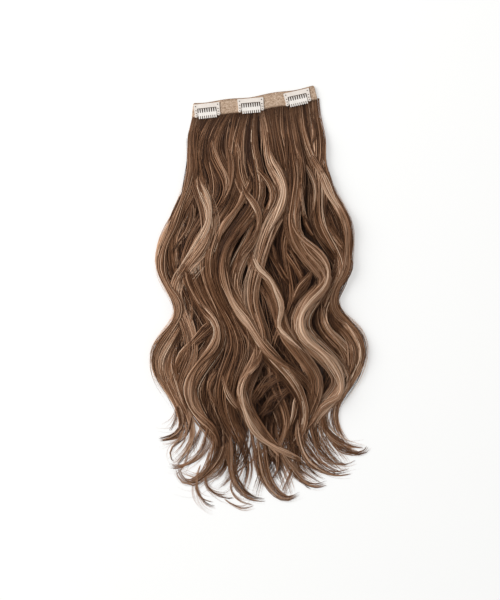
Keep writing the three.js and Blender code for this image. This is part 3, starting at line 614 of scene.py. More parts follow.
def softened(values, reach=2.0):
    """Values along a line, evened out over a few neighbours."""
    far = int(3 * reach)
    weight = np.exp(-0.5 * (np.arange(-far, far + 1) / reach) ** 2)
    padded = np.pad(values, far, mode="edge")
    return np.convolve(padded, weight / weight.sum(), "valid")


def spread_out(values, count):
    return np.interp(np.linspace(0, 1, count), np.linspace(0, 1, len(values)), values)


def placed(bends):
    """Places down and across as flat points."""
    return [(across * HALF_SPREAD, -down * HAIR_LENGTH) for down, across in bends]


def band_line(along, offset=0.0):
    """Points off the tape's middle line, positive towards its top edge."""
    along = np.atleast_1d(np.asarray(along, float))

    def middle(a):
        ripple = BAND_RIPPLE * (np.cos(2 * np.pi * (a - RIPPLE_START) / RIPPLE_PITCH)
                                - math.cos(2 * math.pi * RIPPLE_START / RIPPLE_PITCH))
        return np.stack([a * BAND_LENGTH / 2, BAND_RISE * a + BAND_SAG * a * a + ripple], 1)

    run = middle(along + 0.05) - middle(along - 0.05)
    run /= np.linalg.norm(run, axis=1)[:, None]
    return middle(along) + np.stack([-run[:, 1], run[:, 0]], 1) * np.reshape(offset, (-1, 1))


def root_point(root):
    return band_line(root, -BAND_WIDTH / 2 + ROOT_OVERRUN)[0]


def leaving(spot):
    """How far hair at flat points has risen from the pocket, 0 in the tape and 1 well below it."""
    edge = band_line(np.clip(2 * spot[:, 0] / BAND_LENGTH, -1, 1), -BAND_WIDTH / 2)[:, 1]
    return smooth((edge - spot[:, 1]) / RISE_RUN)


def from_pocket(points):
    """Sinks hair near the tape to the height of its pocket."""
    away = leaving(points)
    inside = POCKET_HEIGHT + POCKET_SPREAD * np.tanh((points[:, 2] - 4 * MM) / (4 * MM))
    points[:, 2] = lerp(inside, points[:, 2], away)
    return points


def layer_at(down):
    return [np.interp(down, UNDER_LAYER[:, 0], UNDER_LAYER[:, i]) for i in (1, 2, 3)]


def layer_top(spot):
    """Height of the under layer's top at flat points."""
    left, right, thick = layer_at(-spot[:, 1] / HAIR_LENGTH)
    u = (spot[:, 0] / HALF_SPREAD - (left + right) / 2) / ((right - left) / 2)
    return HAIR_THICKNESS * LAYER_SHARE * thick * np.clip(1 - u**4, 0, None)


class Lock:
    """A lock's middle line, breadth, depth and height at even shares of its length."""

    def __init__(self, root, breadth, level, line, tones, count=GUIDE_POINTS):
        self.share = np.linspace(0, 1, count)
        self.line = evenly(line, self.share)
        self.aside = sideways(self.line)
        rise = smooth(self.share / RISE_SHARE)
        taper = lerp(TIP_SHARE, 1, smooth((1 - self.share) / TAPER_SHARE))
        self.half_breadth = breadth * LOCK_BREADTH * taper * lerp(ROOT_BREADTH_SHARE, 1, rise) / 2
        self.half_depth = LOCK_DEPTH * taper * lerp(ROOT_DEPTH_SHARE, 1, rise) / 2
        curl = CURL_LIFT * np.sin(2 * np.pi * CURL_WAVES * self.share + CURL_SHIFT * root)
        ridden = layer_top(self.line) + (level * LOCK_DEPTH + curl - LOCK_DEPTH / 2) * rise * taper
        self.height = np.maximum(ridden, self.half_depth)
        self.tone = spread_out(tones, count)

    def around(self, q, up):
        """The line at q half breadths aside and up half depths above the middle."""
        flat = self.line + self.aside * (q * self.half_breadth)[:, None]
        return np.column_stack([flat, self.height + up * self.half_depth])


def lock_line(root, bends):
    return wave_through([root_point(root), *placed(bends)])


def main_locks():
    return [Lock(root, breadth, level, lock_line(root, bends), tones)
            for _, root, breadth, level, bends, tones in LOCKS]


def fill_locks():
    """Darker locks halfway between each two neighbours, low on the under layer."""
    even = np.linspace(0, 1, FILL_STEPS)
    lines = [(root, evenly(lock_line(root, bends), even)) for _, root, _, _, bends, _ in LOCKS]
    kept = slice(0, int(FILL_STEPS * FILL_END))
    fills = []
    for (a, one), (b, other) in zip(lines, lines[1:]):
        breadth = FILL_BREADTH * min(1, 1.15 - 0.75 * a * b)
        between = ((one + other) / 2)[kept]
        fills.append(Lock((a + b) / 2, breadth, FILL_LEVEL, between, FILL_SHADE_TONES, FILL_POINTS))
    for _, breadth, level, tones, bends in LOW_LOCKS:
        fills.append(Lock(0, breadth, level, wave_through(placed(bends)), tones, FILL_POINTS))
    return fills


class Relief:
    """The height of the hair's surface on a grid, so that loose wisps lie on what is under them."""

    def __init__(self):
        self.low = np.array([-1.3 * HALF_SPREAD, -1.1 * HAIR_LENGTH])
        high = np.array([1.3 * HALF_SPREAD, 0.1 * HAIR_LENGTH])
        self.size = np.ceil((high - self.low) / RELIEF_CELL).astype(int)
        self.height = np.zeros(self.size)

    def cell(self, spot):
        index = ((spot[:, :2] - self.low) / RELIEF_CELL).astype(int)
        return tuple(np.clip(index, 0, self.size - 1).T)

    def add(self, points):
        np.maximum.at(self.height, self.cell(points), points[:, 2])

    def at(self, spot):
        return self.height[self.cell(spot)]


def relief_of(locks):
    relief = Relief()
    for lock in locks:
        for q in np.linspace(-1, 1, 15):
            skin = lock.around(np.full_like(lock.share, q), np.full_like(lock.share, 1 - q * q))
            relief.add(from_pocket(evenly(skin, np.linspace(0, 1, SKIN_STEPS))))
    return relief


# Meshes

def make_object(name, points, faces, material):
    mesh = bpy.data.meshes.new(name)
    mesh.from_pydata([tuple(p) for p in points], [], [tuple(f) for f in faces])
    mesh.materials.append(material)
    mesh.polygons.foreach_set("use_smooth", [True] * len(mesh.polygons))
    piece = bpy.data.objects.new(name, mesh)
    bpy.context.scene.collection.objects.link(piece)
    return piece


def give(piece, name, values, kind="FLOAT"):
    """Stores a number or a vector for each of a mesh's points."""
    layer = piece.data.attributes.new(name, kind, "POINT")
    layer.data.foreach_set("value" if kind == "FLOAT" else "vector", np.asarray(values, float).ravel())


def give_uv(piece, places):
    """Stores a flat place for each of a mesh's points as its UV."""
    corners = np.empty(len(piece.data.loops), int)
    piece.data.loops.foreach_get("vertex_index", corners)
    piece.data.uv_layers.new(name="UVMap").data.foreach_set("uv", np.asarray(places)[corners].ravel())


def lofted(rings):
    """Points and faces of a closed skin through rings of one length, anticlockwise seen from the end."""
    rings = np.asarray(rings)
    count, sides = rings.shape[:2]
    ring, side = np.meshgrid(np.arange(count - 1), np.arange(sides), indexing="ij")
    here = ring * sides + side
    after = ring * sides + (side + 1) % sides
    faces = np.stack([here, after, after + sides, here + sides], 2).reshape(-1, 4).tolist()
    faces.append(list(range(sides))[::-1])
    faces.append([(count - 1) * sides + i for i in range(sides)])
    return rings.reshape(-1, 3), faces


def joined(parts):
    """One list of points and faces from several."""
    points, faces, start = [], [], 0
    for some, theirs in parts:
        points.append(some)
        faces += [[start + i for i in face] for face in theirs]
        start += len(some)
    return np.vstack(points), faces


def applied(piece, tree, **inputs):
    """Runs a geometry tree on a piece and leaves the plain mesh that it makes."""
    modifier = piece.modifiers.new("made", "NODES")
    modifier.node_group = tree
    sockets = {s.name: s.identifier for s in tree.interface.items_tree if s.in_out == "INPUT"}
    for name, value in inputs.items():
        modifier[sockets[name.replace("_", " ")]] = value
    piece.update_tag()
    bpy.context.view_layer.update()
    made = bpy.data.meshes.new_from_object(piece.evaluated_get(bpy.context.evaluated_depsgraph_get()))
    piece.modifiers.remove(modifier)
    piece.data = made
    return piece


def new_tree(name, **inputs):
    """A geometry tree with named inputs, and the wires that come from them."""
    group = bpy.data.node_groups.new(name, "GeometryNodeTree")
    group.interface.new_socket("Geometry", in_out="INPUT", socket_type="NodeSocketGeometry")
    for label, kind in inputs.items():
        group.interface.new_socket(label.replace("_", " "), in_out="INPUT", socket_type="NodeSocket" + kind)
    group.interface.new_socket("Geometry", in_out="OUTPUT", socket_type="NodeSocketGeometry")
    tree = Tree(group)
    given = group.nodes.new("NodeGroupInput")
    return tree, [Wire(tree, given.outputs[i]) for i in range(len(inputs) + 1)]


def end_tree(tree, geometry, material):
    """Closes a tree with shading, Realize Instances and Set Material."""
    soft = tree.node("GeometryNodeSetShadeSmooth", {"domain": "FACE"}, Geometry=geometry, Shade_Smooth=True)
    real = tree.node("GeometryNodeRealizeInstances", None, soft)
    done = tree.node("GeometryNodeSetMaterial", None, Geometry=real, Material=material)
    tree.feed(tree.tree.nodes.new("NodeGroupOutput").inputs[0], done)
    return tree.tree


# Hair finishes

def strand_finish():
    """Hair coloured by each strand's tone, painted shade and own random number."""
    finish = Finish("hair_strands", 0.4, Specular_IOR_Level=0.22)
    tone, shade, strand, run = (finish.attribute(n) for n in ("tone", "shade", "strand", "run"))
    streak = finish.noise(finish.vector(strand * 60.0, run * 14.0, tone * 3.0), 1.0)
    light = finish.clamped(tone + (strand - 0.5) * 0.44 + (streak - 0.5) * 0.5)
    colour = finish.ramp(light, [
        (0.0, paint(52, 28, 13)),
        (0.3, paint(99, 65, 41)),
        (0.55, paint(148, 106, 76)),
        (0.8, paint(203, 162, 131)),
        (1.0, paint(231, 200, 172)),
    ])
    # Painted shade: where the shade attribute is low, the colour darkens towards near-black brown
    finish.set("Base Color", finish.mix(finish.clamped(shade), paint(34, 17, 8), colour))
    finish.set("Roughness", 0.36 + strand * 0.16)
    return finish.material


def shaded_core_finish():
    """The inside of the hair, painted dark as the shade deep between the strands, ribbed along its length."""
    finish = Finish("hair_inside", 0.65)
    along, across, _ = finish.parts(finish.uv())
    rib = finish.noise(finish.vector(across * 90.0, along * 6.0, 0.0), 1.0, 3.0)
    finish.set("Base Color", finish.ramp(rib, [(0.3, paint(34, 18, 9)), (0.7, paint(82, 52, 32))]))
    finish.bump(rib, 0.6 * MM)
    return finish.material


# Hair

def strand_tree(material):
    """Turns guide lines into bundles of fine closed strands."""
    tree, (guides, count, radius, wander, fringe, seed) = new_tree(
        "hair_strands", Strands="Int", Strand_Radius="Float", Wander="Float", Fringe="Float", Seed="Int")

    def named(name, kind="FLOAT"):
        return tree.node("GeometryNodeInputNamedAttribute", {"data_type": kind}, Name=name)

    def per_strand(low, high, shift):
        number = tree.tree.nodes.new("FunctionNodeRandomValue")
        for index, value in ((2, low), (3, high)):
            tree.feed(number.inputs[index], value)
        tree.feed(number.inputs["Seed"], seed + float(shift))
        return tree.node("GeometryNodeFieldOnDomain", {"domain": "CURVE", "data_type": "FLOAT"},
                         Wire(tree, number.outputs[1]))

    curves = tree.node("GeometryNodeMeshToCurve", None, guides)
    many = tree.node("GeometryNodeDuplicateElements", {"domain": "SPLINE"}, Geometry=curves, Amount=count)
    angle = per_strand(0.0, 2 * math.pi, 1)
    reach = per_strand(0.0, 1.0, 2) ** 0.5
    own = per_strand(0.0, 1.0, 3)
    run, fine = named("run"), named("fine")
    half_aside, half_up, _ = tree.parts(named("half", "FLOAT_VECTOR"))
    drift = [tree.noise(tree.vector(own * 90.0 + k, run * 24.0, own * 7.0), 1.0, 1.0) - 0.5
             for k in (0.0, 40.0)]
    out = (angle.math("COSINE") * reach + drift[0] * wander) * half_aside
    up = (angle.math("SINE") * reach + drift[1] * wander) * half_up
    offset = tree.summed(tree.scaled(named("aside", "FLOAT_VECTOR"), out), tree.vector(0.0, 0.0, up))
    moved = tree.node("GeometryNodeSetPosition", None, Geometry=many, Offset=offset)
    kept = tree.node("GeometryNodeStoreNamedAttribute", {"data_type": "FLOAT", "domain": "POINT"},
                     Geometry=moved, Name="strand", Value=own)
    trimmed = tree.node("GeometryNodeTrimCurve", {"mode": "FACTOR"}, Curve=kept,
                        Start=per_strand(0.0, 1.0, 5) * fringe, End=per_strand(0.92, 1.0, 4) - fringe * own)
    ring = tree.node("GeometryNodeCurvePrimitiveCircle", {"mode": "RADIUS"}, Resolution=3, Radius=1.0)
    tubes = tree.node("GeometryNodeCurveToMesh", None, Curve=trimmed, Profile_Curve=ring,
                      Scale=radius * fine * (own * 0.7 + 0.6), Fill_Caps=True)
    return end_tree(tree, tubes, material)


def guide(points, aside, half, tone, shade, fine):
    """One line to grow strands on. half is how far they spread aside and up."""
    return {"points": points, "aside": aside, "half": half, "run": run_of(points), "tone": tone,
            "shade": shade, "fine": fine}


def guide_object(name, guides):
    """All guides of a piece as one mesh of lines."""
    mesh = bpy.data.meshes.new(name)
    edges, start = [], 0
    for g in guides:
        edges += [(start + i, start + i + 1) for i in range(len(g["points"]) - 1)]
        start += len(g["points"])
    mesh.from_pydata(np.vstack([g["points"] for g in guides]).tolist(), edges, [])
    piece = bpy.data.objects.new(name, mesh)
    bpy.context.scene.collection.objects.link(piece)
    for column in ("aside", "half"):
        flat = np.vstack([g[column] for g in guides])
        give(piece, column, np.column_stack([flat, np.zeros(len(flat))]), "FLOAT_VECTOR")
    for column in ("run", "tone", "shade", "fine"):
        give(piece, column, np.concatenate([g[column] for g in guides]))
    return piece


def pointed(share, start=0.0, end=0.22, thinnest=HAIR_TIP):
    """Thickness along a strand that thins at its tip and, where start is given, at its start."""
    ends = smooth((1 - share) / end)
    if start:
        ends = ends * smooth(share / start)
    return lerp(thinnest, 1, ends)


def rim(points):
    """1 at the outer edge of the whole hair and 0 inside it, at flat points."""
    left, right, _ = layer_at(-points[:, 1] / HAIR_LENGTH)
    u = (points[:, 0] / HALF_SPREAD - (left + right) / 2) / ((right - left) / 2)
    return smooth((np.abs(u) - 0.93) / 0.12)


def lock_guides(lock, count, stray=3.0 * MM, shade=1.0):
    """Wisps at uneven places across a lock, each with its own sway, tone, end and painted shade."""
    guides = []
    share = lock.share
    for number in range(count):
        q = 0.85 * (2 * (number + 0.5) / count - 1) + rng.uniform(-0.12, 0.12)
        sway = 0.3 * np.sin(2 * np.pi * (rng.uniform(1.0, 2.2) * share + rng.random()))
        q_line = np.clip(q + sway * smooth(share / 0.2), -0.82, 0.82)
        up = np.sqrt(np.clip(1 - q_line**2, 0, 1)) * 0.8 + rng.uniform(-0.2, 0.12)
        line = lock.around(q_line, up)
        leave = smooth((share - 0.7) / 0.3) * rng.normal(0, stray)
        line[:, :2] += lock.aside * leave[:, None]
        half_aside = np.maximum(lock.half_breadth * STRAND_PACKING / count, LEAST_SPREAD)
        half_up = np.maximum(lock.half_depth * WISP_FLATNESS, LEAST_LIFT)
        line = from_pocket(line)
        half_up = lerp(LEAST_LIFT, half_up, leaving(line))
        line[:, 2] = np.maximum(line[:, 2], half_up + STRAND_RADIUS)
        outer = rim(line)
        # Painted shade: darker towards the lock's sides and over the first tenth of its length, in the shade
        # under the tape; wisps at the hair's outer rim get no side shade and a slightly lighter tone
        edge = 1 - 0.55 * np.abs(q_line) ** 2.2 * (1 - outer) * smooth((1 - share) / 0.15)
        root = lerp(0.72, 1, smooth(share / 0.1))
        tone = lock.tone + 0.02 + rng.normal(0, 0.14) + 0.1 * outer
        guides.append(guide(line, lock.aside, np.stack([half_aside, half_up], 1), tone, shade * edge * root,
                            pointed(share)))
    return guides


def loose_guides(rows, relief, begin, end=0.4, thinnest=HAIR_TIP, lift=0.0):
    """Wisps from a table, laid on the hair that is there. Each is a bundle of a few guides."""
    guides = []
    for _, breadth, tones, bends in rows:
        line = wave_through(placed(bends))
        length = run_of(line)[-1]
        count = max(8, int(length / POINT_SPACING) + 1)
        start = max(begin, WISP_START / length)
        share = np.linspace(0, 1, count)
        flat = evenly(line, share)
        aside = sideways(flat)
        broad = breadth * MM / 2
        pinch = 1 + 0.25 * np.sin(2 * np.pi * (run_of(flat) / PINCH_RUN + rng.random()))
        swell = pinch * lerp(0.2, 1, smooth((1 - share) / 0.45)) * lerp(0.2, 1, smooth(share / start))
        depth = np.clip(0.45 * broad, 0.25 * MM, 1.4 * MM) * swell
        lying = softened(relief.at(flat), RELIEF_REACH) + depth * 0.9
        dip = 2 * MM * (1 - smooth(share / start))
        fade = min(WISP_FADE, length / 4)
        thin = min(1, 0.25 + breadth / 6)
        bundles = max(2, round(breadth / 1.6))
        for number, q in enumerate(np.linspace(-0.7, 0.7, bundles)):
            sway = 0.16 * np.sin(2 * np.pi * (rng.uniform(0.8, 1.8) * share + rng.random()))
            points = np.column_stack([flat + aside * ((q + sway) * broad * swell)[:, None], lying - dip])
            points[:, 2] += depth * (0.6 - q * q)
            fork = smooth((share - 0.55) / 0.45) * rng.normal(0, 0.16 * breadth * MM + 0.7 * MM)
            points[:, :2] += aside * fork[:, None]
            points = from_pocket(points)
            points[:, 2] = np.maximum(points[:, 2], depth * 0.5 + WISP_RADIUS)
            half = np.stack([np.maximum(2.4 * broad * swell / bundles, 0.25 * MM), depth * 0.6], 1)
            late, early = rng.uniform(0, fade, 2)
            shown = smooth((share * length - late) / fade) * smooth(((1 - share) * length - early) / fade)
            tone = lerp(SURFACE_TONE, spread_out(tones, count), shown * (1 - EDGE_FADE * q * q))
            streak = STREAK_TONE * (-1) ** number + rng.normal(0, 0.1)
            # Painted shade: each wisp's bundles darken towards its sides
            guides.append(guide(points, aside, half, tone + streak + lift,
                                np.full_like(share, 1 - 0.25 * abs(q) ** 1.5),
                                thin * pointed(share, start, end, thinnest)))
        skin = np.linspace(0, 1, 300)
        relief.add(np.column_stack([evenly(flat, skin), np.interp(skin, share, lying + depth * 0.4)]))
    return guides


def haze_guides(rows, count):
    """Single fine hairs that fan out of the curled ends."""
    guides = []
    for _, breadth, tones, bends in rows:
        for _ in range(count):
            share = np.linspace(0, 1, HAZE_POINTS)
            flat = evenly(wave_through(placed(bends)), share)
            aside = sideways(flat)
            fan = share**1.6 * rng.normal(0, 6 * MM) + rng.uniform(-0.5, 0.5) * breadth * MM
            points = np.column_stack([flat + aside * fan[:, None], lerp(4, 0.6, smooth(share / 0.5)) * MM])
            half = np.full((HAZE_POINTS, 2), 0.7 * MM) * np.array([1, 0.3])
            tone = np.full(HAZE_POINTS, max(tones) + 0.1)
            guides.append(guide(points, aside, half, tone, np.ones(HAZE_POINTS), pointed(share, 0.1, 0.6)))
    return guides


def fine_guides(locks, relief, count):
    """Thin wisps that cross from one lock towards the next, lighter or darker than what they lie on."""
    guides = []
    for _ in range(count):
        lock = locks[rng.integers(len(locks))]
        first = rng.integers(3, 34)
        part = slice(first, first + rng.integers(13, 22))
        share = np.linspace(0, 1, part.stop - part.start)
        bow = rng.uniform(-0.9, 0.9) + rng.uniform(-0.5, 0.5) * smooth(share)
        aside = lock.aside[part]
        flat = lock.line[part] + aside * (bow * lock.half_breadth[part])[:, None]
        points = from_pocket(np.column_stack([flat, softened(relief.at(flat), RELIEF_REACH) + 0.2 * MM]))
        half = np.full((len(share), 2), 0.3 * MM) * np.array([3.0, 1.0])
        if rim(points).max() > 0.4:
            continue
        tone = lock.tone[part] + rng.choice([-0.12, 0.1, 0.25])
        guides.append(guide(points, aside, half, tone, np.ones_like(share), pointed(share, 0.3, 0.4)))
    return guides


def stray_guides(locks, count):
    """Single fine hairs that leave the locks a little."""
    guides = []
    for _ in range(count):
        lock = locks[rng.integers(len(locks))]
        first = rng.integers(8, 26)
        part = slice(first, min(len(lock.share), first + rng.integers(18, 34)))
        share = np.linspace(0, 1, len(lock.share[part]))
        bow = rng.choice([-1, 1]) * (0.8 + rng.uniform(0.2, 0.9) * np.sin(np.pi * share))
        flat = lock.line[part] + lock.aside[part] * (bow * lock.half_breadth[part])[:, None]
        flat += lock.aside[part] * (share**2 * rng.normal(0, 5 * MM))[:, None]
        height = lock.height[part] + lock.half_depth[part] * rng.uniform(-0.3, 1.1)
        points = np.column_stack([flat, np.maximum(height, 0.5 * MM)])
        if rim(points).max() > 0.8:
            continue
        half = np.full((len(share), 2), 0.1 * MM)
        guides.append(guide(points, lock.aside[part], half, lock.tone[part] + 0.1, np.ones_like(share),
                            pointed(share, 0.2, 0.5)))
    return guides


def fringe_guides(rows, count):
    """Single fine hairs that stand a little outside the two sides of the hair."""
    guides = []
    for _, breadth, _, bends in rows:
        line = wave_through(placed(bends))
        side = np.sign(line[:, 0].mean())
        for _ in range(count):
            share = np.linspace(0, 1, FRINGE_POINTS)
            first = rng.uniform(0.1, 0.6)
            flat = evenly(line, first + share * min(0.95 - first, rng.uniform(0.25, 0.45)))
            aside = sideways(flat)
            bow = (0.25 * breadth + rng.uniform(0, 5.5) * np.sin(np.pi * share)) * MM
            height = np.full(FRINGE_POINTS, rng.uniform(1.5, 6) * MM)
            points = np.column_stack([flat + aside * (side * bow)[:, None], height])
            half = np.full((FRINGE_POINTS, 2), 0.3 * MM)
            guides.append(guide(points, aside, half, np.full(FRINGE_POINTS, FRINGE_TONE),
                                np.ones(FRINGE_POINTS), pointed(share, 0.3, 0.4)))
    return guides


def make_core(locks, material):
    """The closed inside of the hair: a slimmer body in each lock, on the under layer, dark as painted shade
    between the strands.
    """
    turn = np.linspace(0, 2 * math.pi, 8, endpoint=False)
    parts = [under_layer()]
    for lock in locks:
        slim = 0.1 + 0.9 * smooth((0.8 - lock.share) / 0.3)
        kept = lock.share < 0.82
        rings = [from_pocket(lock.around(0.66 * math.cos(a) * slim, (0.45 * math.sin(a) - 0.35) * slim))
                 for a in turn]
        parts.append(lofted(np.stack(rings, 1)[kept]))
    points, faces = joined(parts)
    points[:, 2] = np.maximum(points[:, 2], 0.02 * MM)
    core = make_object("hair_inside", points, faces, material)
    give_uv(core, np.column_stack([-points[:, 1], points[:, 0]]) / 0.1)
    return core


def under_layer():
    """The skin of the layer under the locks, which thins out towards the ends."""
    across = np.cos(np.linspace(0, math.pi, 15))
    rings = []
    for down in np.linspace(0, LAYER_END, 48):
        left, right, thick = layer_at(down)
        thin = smooth((LAYER_END + 0.01 - down) / 0.17)
        level = 1 - smooth(down / RISE_SHARE)
        x = ((left + right) / 2 + across * (right - left) / 2 * lerp(0.3, 0.92, thin)) * HALF_SPREAD
        root = band_line(np.clip(2 * x / BAND_LENGTH, -1, 1), -BAND_WIDTH / 2 + ROOT_OVERRUN)[:, 1]
        y = root * level - down * HAIR_LENGTH
        rounded = RIM_SHARE + (1 - RIM_SHARE) * (1 - across**4)
        top = HAIR_THICKNESS * LAYER_SHARE * thick * rounded * 0.78 * thin
        upper = from_pocket(np.column_stack([x, y, np.maximum(top, 0.3 * MM)]))
        lower = np.column_stack([x, y, np.zeros_like(x)])[::-1][1:-1]
        rings.append(np.vstack([upper, lower]))
    return lofted(rings)


def make_hair():
    """All pieces of the hair. They ride on the tape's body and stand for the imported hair."""
    locks, fills = main_locks(), fill_locks()
    tree = strand_tree(strand_finish())
    pieces = [make_core(locks + fills, shaded_core_finish())]

    def grow(name, guides, strands, radius, wander, seed, fringe=0.0):
        pieces.append(applied(guide_object(name, guides), tree, Strands=strands, Strand_Radius=radius,
                              Wander=wander, Fringe=fringe, Seed=seed))

    for number, name in enumerate(("hair_left", "hair_middle", "hair_right")):
        some = locks[5 * number:5 * number + 5]
        grow(name, [g for lock in some for g in lock_guides(lock, LOCK_WISPS)], LOCK_STRANDS, STRAND_RADIUS,
             1.3, 10 * number)
    # The fills and low locks are painted in shade (0.65), as they lie under the locks
    under = [g for lock in fills for g in lock_guides(lock, FILL_WISPS, 5 * MM, 0.65)]
    grow("hair_under", under, FILL_STRANDS, STRAND_RADIUS, 1.4, 50)
    relief = relief_of(locks + fills)
    grow("hair_wisps", loose_guides(WISPS, relief, 0.16), 9, WISP_RADIUS, 1.2, 60, WISP_FRINGE)
    grow("hair_tips", loose_guides(TIPS, relief, 0.2, 0.25, 0.3, 0.12), 9, TIP_RADIUS, 1.5, 70, TIP_FRINGE)
    grow("hair_fine", fine_guides(locks, relief, FINE_WISPS), 6, TIP_RADIUS, 1.4, 80, WISP_FRINGE)
    grow("hair_haze", haze_guides(TIPS, TIP_HAZE), 2, STRAY_RADIUS, 1.5, 85)
    rims = [row for row in WISPS if row[0].endswith("_rim")]
    grow("hair_strays", stray_guides(locks, STRAYS), 1, STRAY_RADIUS, 1.0, 90)
    grow("hair_fringe", fringe_guides(rims, FRINGE), 1, FRINGE_RADIUS, 1.0, 95)
    for piece in pieces:
        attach(piece, "extension")
        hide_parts("hair")


# Tape

def tape_finish():
    """Plain woven tan tape: crossing threads, mottled, and darker along both long edges as painted shade at
    its fold and its seams.
    """
    finish = Finish("tape_weave", 0.85, Specular_IOR_Level=0.25)
    along, across, _ = finish.parts(finish.uv())
    mottle = finish.noise(finish.vector(along * 0.22, across * 0.3, 0.0), 1.0, 3.0)
    fibre = finish.noise(finish.vector(along * 2.2, across * 2.2, 5.0), 1.0, 2.0)
    warp, weft = ((way * (2 * math.pi / WEAVE_PITCH)).math("SINE") for way in (along, across))
    weave = warp * weft * 0.5 + 0.5
    # Painted shade: the tape darkens within about 1.6 mm of both long edges
    edge = finish.clamped((across.math("ABSOLUTE") - 7.4) * 0.8)
    slub = finish.noise(finish.vector(along * 0.55, across * 0.9, 9.0), 1.0, 1.0)
    tone = finish.clamped(mottle * 0.5 + slub * 0.6 + fibre * 0.3 + weave * 0.16 - 0.26 - edge * 0.3)
    finish.set("Base Color", finish.ramp(tone, [
        (0.25, paint(126, 97, 75)),
        (0.5, paint(189, 161, 136)),
        (0.75, paint(231, 208, 186)),
    ]))
    finish.set("Roughness", 0.78 + mottle * 0.2)
    finish.bump(weave + fibre * 0.7, 0.22 * MM)
    return finish.material


def tape_section(half):
    """The folded tape's section, as offsets from its middle and heights, anticlockwise seen from its end."""
    fold = BAND_THICKNESS / 2
    top = np.linspace(-half, half - fold, 26)
    bend = np.linspace(0, math.pi, 9)[1:-1]
    inner = half - FOLD_DEPTH * half * 2 / BAND_WIDTH
    deep = -inner if inner < 0 else half - 3 * MM
    dent = SEAM_DENT * (np.exp(-((top + half - SEAM_INSET) / (0.5 * MM)) ** 2)
                        + np.exp(-((top - half + SEAM_INSET + fold * 0.6) / (0.5 * MM)) ** 2))
    dent += EDGE_ROUNDING * np.exp(-((top + half) / (0.35 * MM)) ** 2)
    section = list(zip(top, BAND_THICKNESS - dent))
    section += [(half - fold + fold * math.sin(a), fold + fold * math.cos(a)) for a in bend]
    section += [(offset, 0.0) for offset in np.linspace(half - fold, -half, 10)]
    section += [(offset, BAND_LAYER) for offset in np.linspace(-half, deep, 6)]
    section += [(offset, BAND_LAYER + BAND_POCKET) for offset in np.linspace(deep, -half, 6)]
    return np.array(section)


def make_tape():
    """The woven tape, folded along its top edge, with the roots between its two layers."""
    reach = np.linspace(-1, 1, 150)
    rings, places = [], []
    for along in reach:
        from_end = (1 - abs(along)) * BAND_LENGTH / 2
        corner = BAND_CORNER - math.sqrt(max(0, BAND_CORNER**2 - max(0, BAND_CORNER - from_end) ** 2))
        section = tape_section(BAND_WIDTH / 2 - 0.7 * corner)
        slant = smooth((-0.9 - along) / 0.1) * BAND_FLARE * (0.5 - section[:, 0] / BAND_WIDTH)
        flat = band_line(np.full(len(section), along), section[:, 0])
        flat[:, 0] -= slant
        pucker = PUCKER * (1 + math.sin(2 * math.pi * along * BAND_LENGTH / 2 / STITCH_PITCH))
        pressed = pucker * (section[:, 1] > BAND_THICKNESS - MM) * (np.abs(section[:, 0]) > 5 * MM)
        rings.append(np.column_stack([flat, section[:, 1] - pressed]))
        places.append(np.column_stack([np.full(len(section), along * BAND_LENGTH / 2), section[:, 0]]) / MM)
    points, faces = lofted(np.array(rings)[:, ::-1])
    tape = make_object("woven_tape", points, faces, tape_finish())
    give_uv(tape, np.vstack([p[::-1] for p in places]))
    return tape


def thread_finish(name, low, high):
    finish = Finish(name, 0.7)
    twist = finish.noise(finish.scaled(finish.place(), 900.0), 1.0)
    finish.set("Base Color", finish.mix(finish.clamped(twist), low, high))
    finish.set("Roughness", 0.6 + twist * 0.2)
    return finish.material


def stitch_tree(material):
    """Puts a small stitch at each point, along the point's aim."""
    tree, (points, length, radius) = new_tree("stitches", Stitch_Length="Float", Thread_Radius="Float")
    ball = tree.node("GeometryNodeMeshUVSphere", None, Segments=8, Rings=5, Radius=1.0)
    size = tree.vector(length * 0.5, radius, radius)
    shaped = tree.node("GeometryNodeTransform", None, Geometry=ball, Scale=size)
    aim = tree.node("GeometryNodeInputNamedAttribute", {"data_type": "FLOAT_VECTOR"}, Name="aim")
    turn = tree.node("FunctionNodeAlignRotationToVector", {"axis": "X"}, Vector=aim)
    sown = tree.node("GeometryNodeInstanceOnPoints", None, Points=points, Instance=shaped, Rotation=turn)
    return end_tree(tree, sown, material)


def sewn(name, places, aims, length, radius, material):
    """Stitches at places, each along its aim."""
    mesh = bpy.data.meshes.new(name)
    mesh.from_pydata([tuple(p) for p in places], [], [])
    piece = bpy.data.objects.new(name, mesh)
    bpy.context.scene.collection.objects.link(piece)
    give(piece, "aim", aims, "FLOAT_VECTOR")
    piece = applied(piece, stitch_tree(material), Stitch_Length=length, Thread_Radius=radius)
    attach(piece, "extension")
    return piece


def make_seams():
    """Running stitches along both edges of the tape."""
    half = BAND_WIDTH / 2
    reach = 1 - 2 * STITCH_MARGIN / BAND_LENGTH
    along = np.arange(-reach, reach, 2 * STITCH_PITCH / BAND_LENGTH)
    places, aims = [], []
    for offset in (-half + SEAM_INSET, half - SEAM_INSET - 0.3 * BAND_THICKNESS):
        flat = band_line(along, offset)
        ahead = band_line(along + 0.01, offset) - flat
        places.append(np.column_stack([flat, np.full(len(flat), BAND_THICKNESS - 0.1 * MM)]))
        aims.append(np.column_stack([ahead / np.linalg.norm(ahead, axis=1)[:, None], np.zeros(len(flat))]))
    # The thread's brown is darker than the tape's, partly as painted shade of each stitch
    thread = thread_finish("seam_thread", paint(104, 78, 58), paint(152, 122, 97))
    return sewn("tape_stitches", np.vstack(places), np.vstack(aims), STITCH_LENGTH, THREAD_RADIUS, thread)


def make_band():
    tape = make_tape()
    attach(tape, "extension")
    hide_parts("band")
    seams = make_seams()


# Clips

